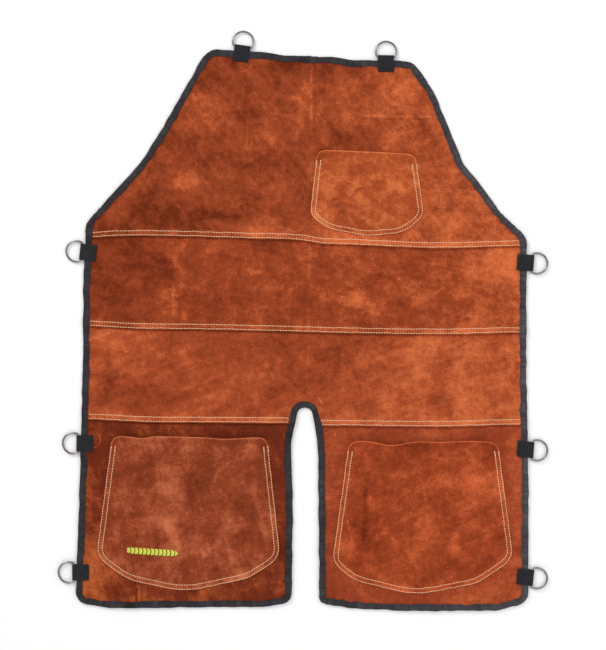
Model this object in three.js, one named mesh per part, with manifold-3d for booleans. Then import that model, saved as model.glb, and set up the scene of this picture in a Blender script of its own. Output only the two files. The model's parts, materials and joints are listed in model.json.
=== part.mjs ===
// Split-leg leather welding apron, laid flat with its front face up.
// Millimetres, +Z up. While it is built, x runs across the apron from its middle and y up from the top of
// the leg slot; the finished group is moved so that its origin is the middle of its underside.
import * as THREE from "three";
import { mergeVertices } from "three/addons/utils/BufferGeometryUtils.js";
import Module from "manifold-3d";

const wasm = await Module();
wasm.setup();

// ---- Driving dimensions ----
const GAP = 0.3; // between pieces that touch on the real apron

const WIDTH = 677; // edge to edge at the hips
const LEG_LENGTH = 301; // top of the slot to the hem
const SIDE_LENGTH = 267; // top of the slot to the shoulder
const BIB_LENGTH = 262; // shoulder to the top of the bib
const BIB_TOP = 309; // across the top of the bib
const BIB_SHIFT = 10.5; // the bib lies this far to the right
const SHOULDER_TILT = 11; // how far the left shoulder lies above the middle, and the right one below it
const TOP_TILT = 9; // the same for the top edge
const SLOT_WIDTH = 38;
const SLOT_SHIFT = 2.5; // middle of the slot, to the right of the middle of the apron

const LEATHER = 1.4; // split cowhide
const TAPE = 0.8; // woven binding tape
const TAPE_WIDTH = 10; // binding seen on each face
const WEBBING = 1.1; // tab webbing, thickness
const WEBBING_WIDTH = 24;
const TAB_REACH = 18; // tab over the apron, from its edge inwards
const BAR_OUT = 4.4; // ring bar, from the edge outwards
const WIRE = 3; // ring wire
const RING_WIDTH = 34.2; // ring, along its bar, outside
const RING_DEPTH = 25; // ring bar's middle to the outside of the bow
const BEND = 4; // ring wire, bend at each end of the bar

const SEAM_HEIGHTS = { bib: SIDE_LENGTH - 9, waist: 123, legs: -16 }; // upper stitch rows
const ROW_GAP = 6.3; // between the two rows of a seam
const ROW_EDGE = 2.4; // stitch row to the cut edge beside it
const RAMP = 2.2; // length of the step where a panel climbs on to the one below it
const RAMP_CLEAR = 0.5; // from that step to the cut edge under it
const THREAD = 0.8;

const BIB_FOLD = 176; // fold lines, each in a single thickness of leather
const LEFT_LEG_FOLD = -33.5;
const RIGHT_LEG_FOLD = -39.5;

const POCKET_FLANGE = 10; // flat border that carries the stitching
const POCKET_SLOPE = 12; // border to the flat middle
const POCKET_HOLLOW = 6.5; // room inside, over the panel
const POCKET_EDGE = 1.2; // outer stitch row to the cut edge
const MOUTH_FREE = 10; // side seams start this far below the mouth
const POCKET_SIDE = 25; // thigh pocket to the side edge
const POCKET_SLOT = 20; // thigh pocket to the slot edge
const POCKET_HEM = 27; // thigh pocket to the hem
const CHEST_WIDTH = 150; // at the mouth
const CHEST_DEPTH = 130;
const CHEST_START = 11; // its left side, to the right of the middle

const MARK_LENGTH = 84; // embroidered bar
const MARK_WIDTH = 11;
const MARK_SLOPE = 4; // degrees, down to the right
const MARK_THICK = 0.8;

// ---- Levels, from the underside up ----
const tapeLow = WEBBING + GAP;
const leatherLow = tapeLow + TAPE + GAP;
const leatherTop = leatherLow + LEATHER;
const lapLow = leatherTop + GAP;
const lapTop = lapLow + LEATHER;
const tapeTop = leatherTop + GAP + TAPE;
const tabTop = tapeTop + GAP + WEBBING;
const barLevel = tabTop / 2;
const foldLevel = tapeTop + GAP / 2;
const pocketTop = lapLow + POCKET_HOLLOW + LEATHER;
const hem = -LEG_LENGTH;
const shoulder = SIDE_LENGTH;
const top = shoulder + BIB_LENGTH;
const side = WIDTH / 2;
const slotLeft = SLOT_SHIFT - SLOT_WIDTH / 2;
const slotRight = SLOT_SHIFT + SLOT_WIDTH / 2;
const FAR = 2000; // past every edge
const ARC_ERROR = 0.2; // arcs are cut into chords this close to them

// ---- Materials ----
const finish = (color, roughness, metalness = 0) =>
  new THREE.MeshStandardMaterial({ color, roughness, metalness });
const suede = finish(0xa8542e, 0.95);
const darkSuede = finish(0x7c3319, 0.95);
const pocketSuede = finish(0xb8623a, 0.95);
const blackTape = finish(0x2a2a2d, 0.85);
const blackWebbing = finish(0x1f1f22, 0.8);
const nickel = finish(0xc9c6c2, 0.25, 1);
const creamThread = finish(0xe2bf9c, 0.8);
const limeThread = finish(0xd9df63, 0.6);

const apron = new THREE.Group();

// ---- Solids ----
function solidOf(geometry) {
  const bare = new THREE.BufferGeometry();
  bare.setAttribute("position", geometry.getAttribute("position"));
  bare.setIndex(geometry.index);
  const merged = mergeVertices(bare, 1e-4);
  return new wasm.Manifold(
    new wasm.Mesh({
      numProp: 3,
      vertProperties: merged.attributes.position.array,
      triVerts: new Uint32Array(merged.index.array),
    }),
  );
}

function addPiece(name, solid, material) {
  const { numProp, vertProperties, triVerts } = solid.getMesh();
  const corners = new THREE.InterleavedBuffer(vertProperties, numProp);
  const geometry = new THREE.BufferGeometry();
  geometry.setAttribute("position", new THREE.InterleavedBufferAttribute(corners, 3, 0));
  geometry.setIndex(new THREE.BufferAttribute(triVerts, 1));
  const mesh = new THREE.Mesh(geometry, material);
  mesh.name = name;
  apron.add(mesh);
  return mesh;
}

function prism(points, low, high) {
  const geometry = new THREE.ExtrudeGeometry(new THREE.Shape(points), {
    depth: high - low,
    bevelEnabled: false,
  });
  return solidOf(geometry.translate(0, 0, low));
}

function block([x0, x1], [y0, y1], [z0, z1] = [-FAR, FAR]) {
  const geometry = new THREE.BoxGeometry(x1 - x0, y1 - y0, z1 - z0);
  return solidOf(geometry.translate((x0 + x1) / 2, (y0 + y1) / 2, (z0 + z1) / 2));
}

// ---- Outlines: rows of [x, y, corner radius], anticlockwise ----
// The inset of an outline: its sides move in by d, and its round corners keep their centres.
function inset(rows, d) {
  return rows.map(([x, y, r], i) => {
    const [px, py] = rows.at(i - 1);
    const [nx, ny] = rows[(i + 1) % rows.length];
    const a = new THREE.Vector2(x - px, y - py).normalize();
    const b = new THREE.Vector2(nx - x, ny - y).normalize();
    const turn = a.cross(b);
    const reach = d / (1 + a.dot(b));
    return [x - (a.y + b.y) * reach, y + (a.x + b.x) * reach, Math.max(r - Math.sign(turn) * d, 0)];
  });
}

// The points along rows, with each corner rounded by its radius, or by as much as its sides leave room for.
function rounded(rows, closed = true) {
  const points = [];
  rows.forEach(([x, y, r], i) => {
    const corner = new THREE.Vector2(x, y);
    if (!closed && (i === 0 || i === rows.length - 1)) {
      points.push(corner);
      return;
    }
    const toLast = new THREE.Vector2(...rows.at(i - 1)).sub(corner);
    const toNext = new THREE.Vector2(...rows[(i + 1) % rows.length]).sub(corner);
    const half = toLast.angleTo(toNext) / 2;
    const room = Math.min(toLast.length(), toNext.length()) / 2;
    const tangent = Math.min(r / Math.tan(half), room);
    const radius = tangent * Math.tan(half);
    const start = toLast.clone().setLength(tangent).add(corner);
    const end = toNext.clone().setLength(tangent).add(corner);
    if (radius < ARC_ERROR) {
      points.push(corner);
      return;
    }
    const centre = toLast.clone().normalize().add(toNext.clone().normalize());
    centre.setLength(radius / Math.sin(half)).add(corner);
    const from = start.clone().sub(centre).angle();
    const sweep = (Math.PI - 2 * half) * Math.sign(toNext.cross(toLast));
    const chords = Math.max(1, Math.ceil(Math.abs(sweep) / 2 / Math.acos(1 - ARC_ERROR / radius)));
    for (let k = 0; k <= chords; k++) {
      const turn = from + (sweep * k) / chords;
      points.push(new THREE.Vector2(Math.cos(turn), Math.sin(turn)).multiplyScalar(radius).add(centre));
    }
    points[points.length - 1].copy(end);
  });
  return points;
}

// A narrow band along an open line of points: one row of stitching seen from above.
function band(points, width) {
  const shift = (sign) =>
    points.map((p, i) => {
      const back = p.clone().sub(points[Math.max(i - 1, 0)]).normalize();
      const on = points[Math.min(i + 1, points.length - 1)].clone().sub(p).normalize();
      const along = back.add(on).normalize();
      return new THREE.Vector2(-along.y, along.x).multiplyScalar((sign * width) / 2).add(p);
    });
  return [...shift(-1), ...shift(1).reverse()];
}

const outline = [
  [-side - 3, hem + 7.5, 18],
  [-side + 48.5, hem - 0.3, 60],
  [slotLeft - 39.5, hem + 1.7, 60],
  [slotLeft - 1, hem + 8, 16],
  [slotLeft + 1.5, -140, 200],
  [slotLeft - 1.5, -70, 100],
  [slotLeft, -45, 60],
  [slotLeft + 10, 0, 10],
  [slotRight - 10, 0, 10],
  [slotRight, -45, 60],
  [slotRight + 1, -60, 100],
  [slotRight + 2.7, hem + 61, 200],
  [slotRight + 2.5, hem + 7.5, 12],
  [slotRight + 53.5, hem - 0.8, 100],
  [slotRight + 128.5, hem - 4.2, 200],
  [side - 46.5, hem - 4, 80],
  [side - 0.5, hem + 8, 18],
  [side, -124, 500],
  [side - 3.5, 56, 500],
  [side - 3, shoulder - SHOULDER_TILT, 18],
  [side - 39.5, shoulder + 23, 80],
  [side - 81.5, shoulder + 80, 60],
  [side - 97.5, shoulder + 97, 30],
  [BIB_SHIFT + BIB_TOP / 2 + 31.5, top - 55, 90],
  [BIB_SHIFT + BIB_TOP / 2, top - TOP_TILT, 30],
  [BIB_SHIFT + 61.5, top - TOP_TILT + 1.3, 80],
  [BIB_SHIFT + 31.5, top - 2.5, 60],
  [BIB_SHIFT - 40.5, top - 0.4, 60],
  [BIB_SHIFT - 62.5, top + 3.6, 60],
  [BIB_SHIFT - BIB_TOP / 2, top + TOP_TILT, 26],
  [BIB_SHIFT - BIB_TOP / 2 - 70, top - 116, 300],
  [-side + 91.5, shoulder + 96, 150],
  [-side + 13, shoulder + SHOULDER_TILT, 24],
  [-side + 8.5, shoulder - 87, 300],
  [-side + 8, 70, 500],
  [-side + 4, -100, 500],
];

// ---- Seams: where each upper stitch row runs, as [share of the half width, rise over its height] ----
const seams = [
  {
    height: SEAM_HEIGHTS.bib,
    rises: [[-1, 4], [-0.75, 7.5], [-0.05, 2.5], [0.1, -5], [0.6, -11], [1, -8]],
  },
  {
    height: SEAM_HEIGHTS.waist,
    rises: [[-1, 7], [-0.68, 2.3], [0.6, -5.5], [1, -3]],
  },
  {
    height: SEAM_HEIGHTS.legs,
    rises: [[-1, 6.5], [-0.63, 1.5], [-0.05, 0.5], [0.1, -3.5], [0.6, -5], [1, -1.8]],
  },
];
const [BIB_SEAM, WAIST_SEAM, LEG_SEAM] = [1, 2, 3];

function seamHeight(seam, x) {
  const { height, rises } = seams[seam - 1];
  const at = THREE.MathUtils.clamp(x / side, -1, 1);
  const next = Math.max(rises.findIndex(([share]) => share >= at), 1);
  const [[from, low], [to, high]] = [rises[next - 1], rises[next]];
  return height + THREE.MathUtils.lerp(low, high, THREE.MathUtils.smoothstep(at, from, to));
}

// A sheet that follows the seams: its section lists [seam, rise over its upper row, level]. Above the
// first seam and below the last one the rise is the height itself. It runs from side to side in steps.
const FREE_TOP = 0;
const FREE_HEM = seams.length + 1;
const SEAM_SPACING = 2000; // keeps the seams apart in the section until the sheet is bent to them
const SHEET_STEPS = 24;
const PAST_EDGE = 60; // sheets run this far past the outline that cuts them

function sheet(section) {
  const corners = section.map(([seam, rise, z]) => new THREE.Vector2(rise - seam * SEAM_SPACING, z));
  const reach = side + PAST_EDGE;
  const geometry = new THREE.ExtrudeGeometry(new THREE.Shape(corners), {
    depth: 2 * reach,
    steps: SHEET_STEPS,
    bevelEnabled: false,
  });
  const position = geometry.getAttribute("position");
  for (let i = 0; i < position.count; i++) {
    const x = position.getZ(i) - reach;
    const seam = Math.round(-position.getX(i) / SEAM_SPACING);
    const rise = position.getX(i) + seam * SEAM_SPACING;
    const y = seam === FREE_TOP || seam === FREE_HEM ? rise : rise + seamHeight(seam, x);
    position.setXYZ(i, x, y, position.getY(i));
  }
  return solidOf(geometry);
}

const aboveTop = [FREE_TOP, top + PAST_EDGE];
const belowHem = [FREE_HEM, hem - PAST_EDGE];
const lapStart = ROW_EDGE + RAMP_CLEAR; // the upper panel is fully raised here, over the lower one's cut edge
const lapEnd = -ROW_GAP - ROW_EDGE; // its own cut edge

// A leather panel: from above seam `upper`, or from the top, to its lap over seam `lower`, or to the hem.
function panelSheet(upper, lower) {
  const start = upper ? [upper, ROW_EDGE] : aboveTop;
  const end = lower
    ? [
        [lower, lapStart + RAMP, leatherLow],
        [lower, lapStart, lapLow],
        [lower, lapEnd, lapLow],
        [lower, lapEnd, lapTop],
        [lower, lapStart, lapTop],
        [lower, lapStart + RAMP, leatherTop],
      ]
    : [
        [...belowHem, leatherLow],
        [...belowHem, leatherTop],
      ];
  return sheet([[...start, leatherLow], ...end, [...start, leatherTop]]);
}

// Everything between a level and a skin that lies over the leather by `lift`.
function envelope(low, lift) {
  const laps = [BIB_SEAM, WAIST_SEAM, LEG_SEAM].flatMap((seam) => [
    [seam, lapStart + RAMP + lift, leatherTop + lift],
    [seam, lapStart + lift, lapTop + lift],
    [seam, lapEnd - lift, lapTop + lift],
    [seam, lapEnd - lift, leatherTop + lift],
  ]);
  const skin = [[...aboveTop, leatherTop + lift], ...laps, [...belowHem, leatherTop + lift]];
  return sheet([[...aboveTop, low], ...skin, [...belowHem, low]]);
}

// ---- Leather panels ----
const leatherInset = TAPE + GAP;
const leatherBlank = prism(rounded(inset(outline, leatherInset)), 0, lapTop + GAP);
const everywhere = [-FAR, FAR];
const cut = GAP / 2;

const bibPanel = panelSheet(FREE_TOP, BIB_SEAM).intersect(leatherBlank);
const upperPanel = panelSheet(BIB_SEAM, WAIST_SEAM).intersect(leatherBlank);
const lowerPanel = panelSheet(WAIST_SEAM, LEG_SEAM).intersect(leatherBlank);
const legPanels = panelSheet(LEG_SEAM, 0).intersect(leatherBlank);
const overBibFold = [BIB_FOLD + cut, FAR];
const underBibFold = [-FAR, BIB_FOLD - cut];

addPiece("bib_panel", bibPanel, suede);
addPiece("upper_body_panel", upperPanel.intersect(block(everywhere, overBibFold)), suede);
addPiece("upper_body_panel_foot", upperPanel.intersect(block(everywhere, underBibFold)), suede);
addPiece("lower_body_panel", lowerPanel, suede);

const legs = [
  { name: "left", across: [-FAR, SLOT_SHIFT], fold: LEFT_LEG_FOLD, material: darkSuede },
  { name: "right", across: [SLOT_SHIFT, FAR], fold: RIGHT_LEG_FOLD, material: suede },
];
for (const { name, across, fold, material } of legs) {
  const head = legPanels.intersect(block(across, [fold + cut, FAR]));
  const panel = legPanels.intersect(block(across, [-FAR, fold - cut]));
  addPiece(`${name}_leg_panel_head`, head, material);
  addPiece(`${name}_leg_panel`, panel, material);
}

// ---- Edge binding: one tape folded over the whole edge, cut at the fold lines and at the waist ----
const tapeSkin = envelope(tapeLow, GAP + TAPE).intersect(prism(rounded(outline), 0, FAR));
const tapeHollow = envelope(tapeLow + TAPE, GAP).intersect(prism(rounded(inset(outline, TAPE)), 0, FAR));
const tapeInside = rounded(inset(outline, TAPE_WIDTH));
const binding = tapeSkin.subtract(tapeHollow).subtract(prism(tapeInside, -FAR, FAR));
const slotSides = [slotLeft - TAPE_WIDTH * 2, slotRight + TAPE_WIDTH * 2];
const waistLeft = [-FAR, slotSides[0]];
const waistRight = [slotSides[1], FAR];
const [leftLeg, rightLeg] = legs;

const aboveSlot = binding.intersect(block(slotSides, [RIGHT_LEG_FOLD + cut, TAPE_WIDTH * 2]));
const slotPiece = aboveSlot.subtract(block(leftLeg.across, [-FAR, LEFT_LEG_FOLD + cut]));
const bindingPieces = {
  bib_binding: binding.intersect(block(everywhere, overBibFold)),
  left_waist_binding: binding.intersect(block(waistLeft, [LEFT_LEG_FOLD + cut, BIB_FOLD - cut])),
  right_waist_binding: binding.intersect(block(waistRight, [RIGHT_LEG_FOLD + cut, BIB_FOLD - cut])),
  slot_binding: slotPiece,
  left_leg_binding: binding.intersect(block(leftLeg.across, [-FAR, LEFT_LEG_FOLD - cut])),
  right_leg_binding: binding.intersect(block(rightLeg.across, [-FAR, RIGHT_LEG_FOLD - cut])),
};
for (const [name, solid] of Object.entries(bindingPieces)) addPiece(name, solid, blackTape);

// ---- Stitching ----
const rowLow = (surface) => surface + GAP;
const sewn = prism(rounded(inset(outline, TAPE_WIDTH + GAP)), -FAR, FAR); // inside the binding

function seamRow(seam, drop, [x0, x1]) {
  const steps = Math.ceil(((x1 - x0) / (2 * side)) * SHEET_STEPS);
  const points = [];
  for (let i = 0; i <= steps; i++) {
    const x = THREE.MathUtils.lerp(x0, x1, i / steps);
    points.push(new THREE.Vector2(x, seamHeight(seam, x) - drop));
  }
  return prism(band(points, THREAD), rowLow(lapTop), rowLow(lapTop) + THREAD).intersect(sewn);
}

const seamRuns = [
  { name: "bib_seam", seam: BIB_SEAM, across: [-side, side] },
  { name: "waist_seam", seam: WAIST_SEAM, across: [-side, side] },
  { name: "left_leg_seam", seam: LEG_SEAM, across: [-side, SLOT_SHIFT] },
  { name: "right_leg_seam", seam: LEG_SEAM, across: [SLOT_SHIFT, side] },
];
for (const { name, seam, across } of seamRuns) {
  addPiece(`${name}_upper_row`, seamRow(seam, 0, across), creamThread);
  addPiece(`${name}_lower_row`, seamRow(seam, ROW_GAP, across), creamThread);
}

// ---- Pockets: patches with a sewn border, a raised middle and an open mouth ----
// Their rows start at the mouth's left end and go anticlockwise: down, along the bottom and up again.
const chestFoot = seamHeight(BIB_SEAM, CHEST_START + 82) + lapStart + RAMP + GAP; // just clear of the seam
const chestRight = CHEST_START + CHEST_WIDTH;
const pocketFoot = hem + POCKET_HEM;
const leftPocketSide = -side + 4 + POCKET_SIDE;
const rightPocketSide = side - POCKET_SIDE;
const leftPocketSlot = slotLeft - POCKET_SLOT;
const rightPocketSlot = slotRight + POCKET_SLOT + 3;
const pockets = [
  {
    name: "chest_pocket",
    material: suede,
    rows: [
      [CHEST_START + 10, chestFoot + CHEST_DEPTH, 12],
      [CHEST_START - 1, chestFoot + 31, 18],
      [CHEST_START + 26.5, chestFoot + 11, 50],
      [CHEST_START + 82, chestFoot, 80],
      [chestRight - 8, chestFoot + 5, 50],
      [chestRight + 21, chestFoot + 31.5, 18],
      [chestRight + 8, chestFoot + CHEST_DEPTH - 6, 12],
    ],
  },
  {
    name: "left_thigh_pocket",
    material: pocketSuede,
    rows: [
      [leftPocketSide + 22.5, LEFT_LEG_FOLD - 9.3, 14],
      [leftPocketSide - 1, pocketFoot + 51, 25],
      [leftPocketSide + 44, pocketFoot + 16, 80],
      [leftPocketSide + 131, pocketFoot - 3, 120],
      [leftPocketSlot - 46, pocketFoot + 17, 60],
      [leftPocketSlot + 3, pocketFoot + 48, 28],
      [leftPocketSlot - 17, LEFT_LEG_FOLD - 10, 14],
    ],
  },
  {
    name: "right_thigh_pocket",
    material: pocketSuede,
    rows: [
      [rightPocketSlot + 24, RIGHT_LEG_FOLD - 11, 12],
      [rightPocketSlot - 1, pocketFoot + 43.5, 22],
      [rightPocketSlot + 27.5, pocketFoot + 15, 80],
      [rightPocketSlot + 123.5, pocketFoot - 8, 130],
      [rightPocketSide - 51, pocketFoot + 10, 60],
      [rightPocketSide + 2.5, pocketFoot + 47, 25],
      [rightPocketSide - 21, RIGHT_LEG_FOLD - 11.5, 14],
    ],
  },
];

// A cushion with a flat top and round sides that reaches `height` over the panel, inside an outline.
function cushion(rows, border, slope, height) {
  const geometry = new THREE.ExtrudeGeometry(new THREE.Shape(rounded(inset(rows, border + slope))), {
    depth: 1,
    bevelThickness: height,
    bevelSize: slope,
    bevelSegments: 3,
  });
  return solidOf(geometry.translate(0, 0, lapLow - 1));
}

// A side of a pocket, carried on past the mouth.
function extended([fromX, fromY], [x, y, r]) {
  const run = (x - fromX) / (y - fromY);
  return [x + PAST_EDGE * run, y + PAST_EDGE, r];
}

for (const { name, material, rows } of pockets) {
  const patch = rounded(rows);
  const tall = [...rows];
  tall[0] = extended(rows[1], rows[0]);
  tall[tall.length - 1] = extended(rows.at(-2), rows.at(-1));
  const outer = cushion(tall, POCKET_FLANGE, POCKET_SLOPE, pocketTop - lapLow);
  const inner = cushion(tall, POCKET_FLANGE + LEATHER, POCKET_SLOPE, pocketTop - lapLow - LEATHER);
  const pocket = prism(patch, lapLow, lapTop)
    .add(outer)
    .subtract(inner)
    .intersect(prism(patch, lapLow, FAR));
  addPiece(name, pocket, material);
  ["outer", "inner"].forEach((row, i) => {
    const line = inset(rows, POCKET_EDGE + i * ROW_GAP);
    const [left, right] = [line[0], line.at(-1)];
    const start = (end, next) => {
      const down = new THREE.Vector2(...next).sub(new THREE.Vector2(...end));
      return down.setLength(MOUTH_FREE).add(new THREE.Vector2(...end)).toArray();
    };
    const path = [[...start(left, line[1]), 0], ...line.slice(1, -1), [...start(right, line.at(-2)), 0]];
    const low = rowLow(lapTop);
    const thread = prism(band(rounded(path, false), THREAD), low, low + THREAD);
    addPiece(`${name}_${row}_row`, thread, creamThread);
  });
}

// ---- Embroidered bar on the left thigh pocket ----
const markRows = [
  [0, 0, MARK_WIDTH / 2],
  [MARK_LENGTH, 0, MARK_WIDTH / 2],
  [MARK_LENGTH, MARK_WIDTH, MARK_WIDTH / 2],
  [0, MARK_WIDTH, MARK_WIDTH / 2],
];
const mark = addPiece("embroidered_bar", prism(rounded(markRows), 0, MARK_THICK), limeThread);
mark.position.set(leftPocketSide + 40, pocketFoot + 56, pocketTop + GAP);
mark.rotation.z = THREE.MathUtils.degToRad(-MARK_SLOPE);

// ---- Tabs and rings: each set has the x axis out from the edge and the y axis along the ring's bar ----
// Where the binding's edge is met at the tab's middle, and the direction out from it.
const places = [
  { name: "top_left", at: [BIB_SHIFT - 102, top + 7.2], out: 82 },
  { name: "top_right", at: [BIB_SHIFT + 114, top - 7.9], out: 89 },
  { name: "left_shoulder", at: [-side + 11, shoulder - 34], out: 174 },
  { name: "right_shoulder", at: [side + 0.4, shoulder - 50], out: -4 },
  { name: "left_thigh", at: [-side + 6, LEFT_LEG_FOLD - 20.5], out: 179 },
  { name: "right_thigh", at: [side + 0.4, RIGHT_LEG_FOLD - 24], out: -4 },
  { name: "left_hem", at: [-side - 0.4, hem + 53.5], out: 180 },
  { name: "right_hem", at: [side, hem + 46], out: -6 },
];

const loopHeight = tabTop - 2 * WEBBING; // room for the bar, level with both layers over the binding
const footIn = TAPE_WIDTH + 4; // well past the binding the layers close on the leather
const footRamp = 2; // length of the step down to it

function makeTab() {
  const shape = new THREE.Shape();
  shape.moveTo(-TAB_REACH, lapLow + WEBBING);
  shape.lineTo(-footIn - footRamp, lapLow + WEBBING);
  shape.lineTo(-footIn, tabTop);
  shape.lineTo(BAR_OUT, tabTop);
  shape.absarc(BAR_OUT, barLevel, tabTop / 2, Math.PI / 2, -Math.PI / 2, true);
  shape.lineTo(-footIn, 0);
  shape.lineTo(-footIn - footRamp, leatherLow - GAP - WEBBING);
  shape.lineTo(-TAB_REACH, leatherLow - GAP - WEBBING);
  shape.lineTo(-TAB_REACH, leatherLow - GAP);
  shape.lineTo(-footIn - footRamp, leatherLow - GAP);
  shape.lineTo(-footIn, WEBBING);
  shape.lineTo(BAR_OUT, WEBBING);
  shape.absarc(BAR_OUT, barLevel, loopHeight / 2, -Math.PI / 2, Math.PI / 2, false);
  shape.lineTo(-footIn, tabTop - WEBBING);
  shape.lineTo(-footIn - footRamp, lapLow);
  shape.lineTo(-TAB_REACH, lapLow);
  const geometry = new THREE.ExtrudeGeometry(shape, {
    depth: WEBBING_WIDTH,
    curveSegments: 8,
    bevelEnabled: false,
  });
  geometry.translate(0, 0, -WEBBING_WIDTH / 2);
  geometry.rotateX(Math.PI / 2);
  return solidOf(geometry);
}

function makeRing() {
  const radius = (RING_WIDTH - WIRE) / 2;
  const middle = RING_DEPTH - WIRE / 2 - radius; // bar to the middle of the bow
  const half = Math.sqrt(radius ** 2 - middle ** 2); // bar and bow would meet here
  const turn = Math.asin(middle / radius); // where they meet, seen from the bow's middle
  const reach = Math.PI / 2 + turn;
  const bow = [];
  const bowSteps = 14;
  for (let i = 0; i <= bowSteps; i++) {
    const angle = THREE.MathUtils.lerp(-reach, reach, i / bowSteps);
    bow.push([middle + radius * Math.cos(angle), radius * Math.sin(angle), 0]);
  }
  const barStart = [[0, -half + BEND, 0], [0, -half, BEND]];
  const barFinish = [[0, half, BEND], [0, half - BEND, 0]];
  const rows = [...barStart, ...bow.slice(1, -1), ...barFinish];
  const line = rounded(rows, false).map((p) => new THREE.Vector3(p.x, p.y, 0));
  const wire = new THREE.Shape().absarc(0, 0, WIRE / 2, 0, 2 * Math.PI);
  const sweep = (extrudePath, steps) => {
    const options = { extrudePath, steps, curveSegments: 4, bevelEnabled: false };
    return solidOf(new THREE.ExtrudeGeometry(wire, options));
  };
  const bent = sweep(new THREE.CatmullRomCurve3(line), 2 * bowSteps);
  const barEnd = new THREE.Vector3(0, half - BEND + 1, 0);
  return bent.add(sweep(new THREE.LineCurve3(barEnd.clone().negate(), barEnd), 1));
}

const tab = makeTab();
const ring = makeRing();
for (const { name, at, out } of places) {
  const set = new THREE.Group();
  set.position.set(...at, 0);
  set.rotation.z = THREE.MathUtils.degToRad(out);
  apron.add(set);
  set.add(addPiece(`${name}_tab`, tab, blackWebbing));
  const hung = addPiece(`${name}_ring`, ring, nickel);
  hung.position.set(BAR_OUT, 0, barLevel);
  set.add(hung);
}

// ---- Hinge lines: the folds run across the apron just over the binding, and each ring turns on its bar ----
const hinges = {
  bib_fold: new THREE.Vector3(0, BIB_FOLD, foldLevel),
  left_leg_fold: new THREE.Vector3(0, LEFT_LEG_FOLD, foldLevel),
  right_leg_fold: new THREE.Vector3(0, RIGHT_LEG_FOLD, foldLevel),
};
for (const { name, at, out } of places) {
  const bar = new THREE.Vector3(BAR_OUT, 0, barLevel);
  bar.applyAxisAngle(new THREE.Vector3(0, 0, 1), THREE.MathUtils.degToRad(out));
  hinges[`${name}_ring_swing`] = bar.add(new THREE.Vector3(...at, 0));
}

// ---- Origin: the middle of the underside ----
const box = new THREE.Box3().setFromObject(apron, true);
const centre = box.getCenter(new THREE.Vector3());
apron.position.set(-centre.x, -centre.y, -box.min.z);
for (const point of Object.values(hinges)) point.add(apron.position);
apron.userData.hinges = hinges;

export default apron;
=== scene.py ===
import json
import math

import bpy
import numpy as np
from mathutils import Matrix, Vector
from mathutils.geometry import delaunay_2d_cdt
from mathutils.kdtree import KDTree

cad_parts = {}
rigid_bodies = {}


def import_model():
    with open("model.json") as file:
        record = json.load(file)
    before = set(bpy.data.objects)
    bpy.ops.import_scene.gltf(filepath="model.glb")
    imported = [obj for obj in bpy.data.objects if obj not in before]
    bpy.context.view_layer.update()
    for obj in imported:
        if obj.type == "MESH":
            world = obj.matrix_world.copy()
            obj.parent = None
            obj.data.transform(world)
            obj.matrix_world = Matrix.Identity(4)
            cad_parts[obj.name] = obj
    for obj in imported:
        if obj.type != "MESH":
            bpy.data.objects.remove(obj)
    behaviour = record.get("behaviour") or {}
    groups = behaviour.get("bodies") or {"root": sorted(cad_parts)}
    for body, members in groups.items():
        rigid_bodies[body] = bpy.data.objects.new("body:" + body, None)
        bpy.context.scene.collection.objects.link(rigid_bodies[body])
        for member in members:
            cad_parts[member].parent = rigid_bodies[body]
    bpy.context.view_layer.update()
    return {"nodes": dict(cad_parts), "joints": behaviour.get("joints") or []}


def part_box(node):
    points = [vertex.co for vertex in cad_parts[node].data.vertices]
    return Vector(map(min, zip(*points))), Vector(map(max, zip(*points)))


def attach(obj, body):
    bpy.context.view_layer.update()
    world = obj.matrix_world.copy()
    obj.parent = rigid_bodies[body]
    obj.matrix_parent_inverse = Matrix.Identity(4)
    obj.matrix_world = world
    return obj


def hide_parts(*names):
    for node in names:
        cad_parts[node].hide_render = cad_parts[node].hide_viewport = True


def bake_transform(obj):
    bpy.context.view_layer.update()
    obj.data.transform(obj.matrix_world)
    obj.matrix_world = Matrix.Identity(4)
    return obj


for left_over in list(bpy.data.objects):
    bpy.data.objects.remove(left_over)
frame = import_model()

# ==== Studio ====
# A pale matt floor, big soft lamps, and a camera straight above the apron, as for a catalogue.
# Everything else in this file is the apron itself, in the order in which it is cut and sewn.

CAMERA_AIM = (0, -0.0064)
FRAME_HEIGHT = 0.975  # metres of floor seen from top to bottom
LEATHER_LEVEL = 0.004
LENS, SENSOR = 85, 36
DAYLIGHT = 0.62
FLOOR_REACH, FLOOR_LEVEL = 6, -0.0004
camera_data = bpy.data.cameras.new("camera")
camera_data.lens = LENS
camera_data.sensor_width = SENSOR
camera = bpy.data.objects.new("camera", camera_data)
camera.location = (*CAMERA_AIM, FRAME_HEIGHT * LENS / SENSOR + LEATHER_LEVEL)
bpy.context.collection.objects.link(camera)
bpy.context.scene.camera = camera

world = bpy.data.worlds.new("daylight")
world.use_nodes = True
sky = world.node_tree.nodes["Background"]
sky.inputs["Color"].default_value = (1, 1, 1, 1)
sky.inputs["Strength"].default_value = DAYLIGHT
bpy.context.scene.world = world
bpy.context.scene.view_settings.view_transform = "Standard"


def soft_lamp(name, place, width, watts):
    """A square lamp that looks at the middle of the apron."""
    lamp = bpy.data.lights.new(name, "AREA")
    lamp.size = width
    lamp.energy = watts
    holder = bpy.data.objects.new(name, lamp)
    holder.location = place
    holder.rotation_euler = Vector(place).to_track_quat("Z", "Y").to_euler()
    bpy.context.collection.objects.link(holder)


soft_lamp("key_lamp", (-1.3, 1.5, 1.7), 1.1, 26)
soft_lamp("fill_lamp", (1.6, 0.2, 1.9), 1.8, 13)
soft_lamp("low_lamp", (0.3, -1.8, 1.6), 1.6, 8)


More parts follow.
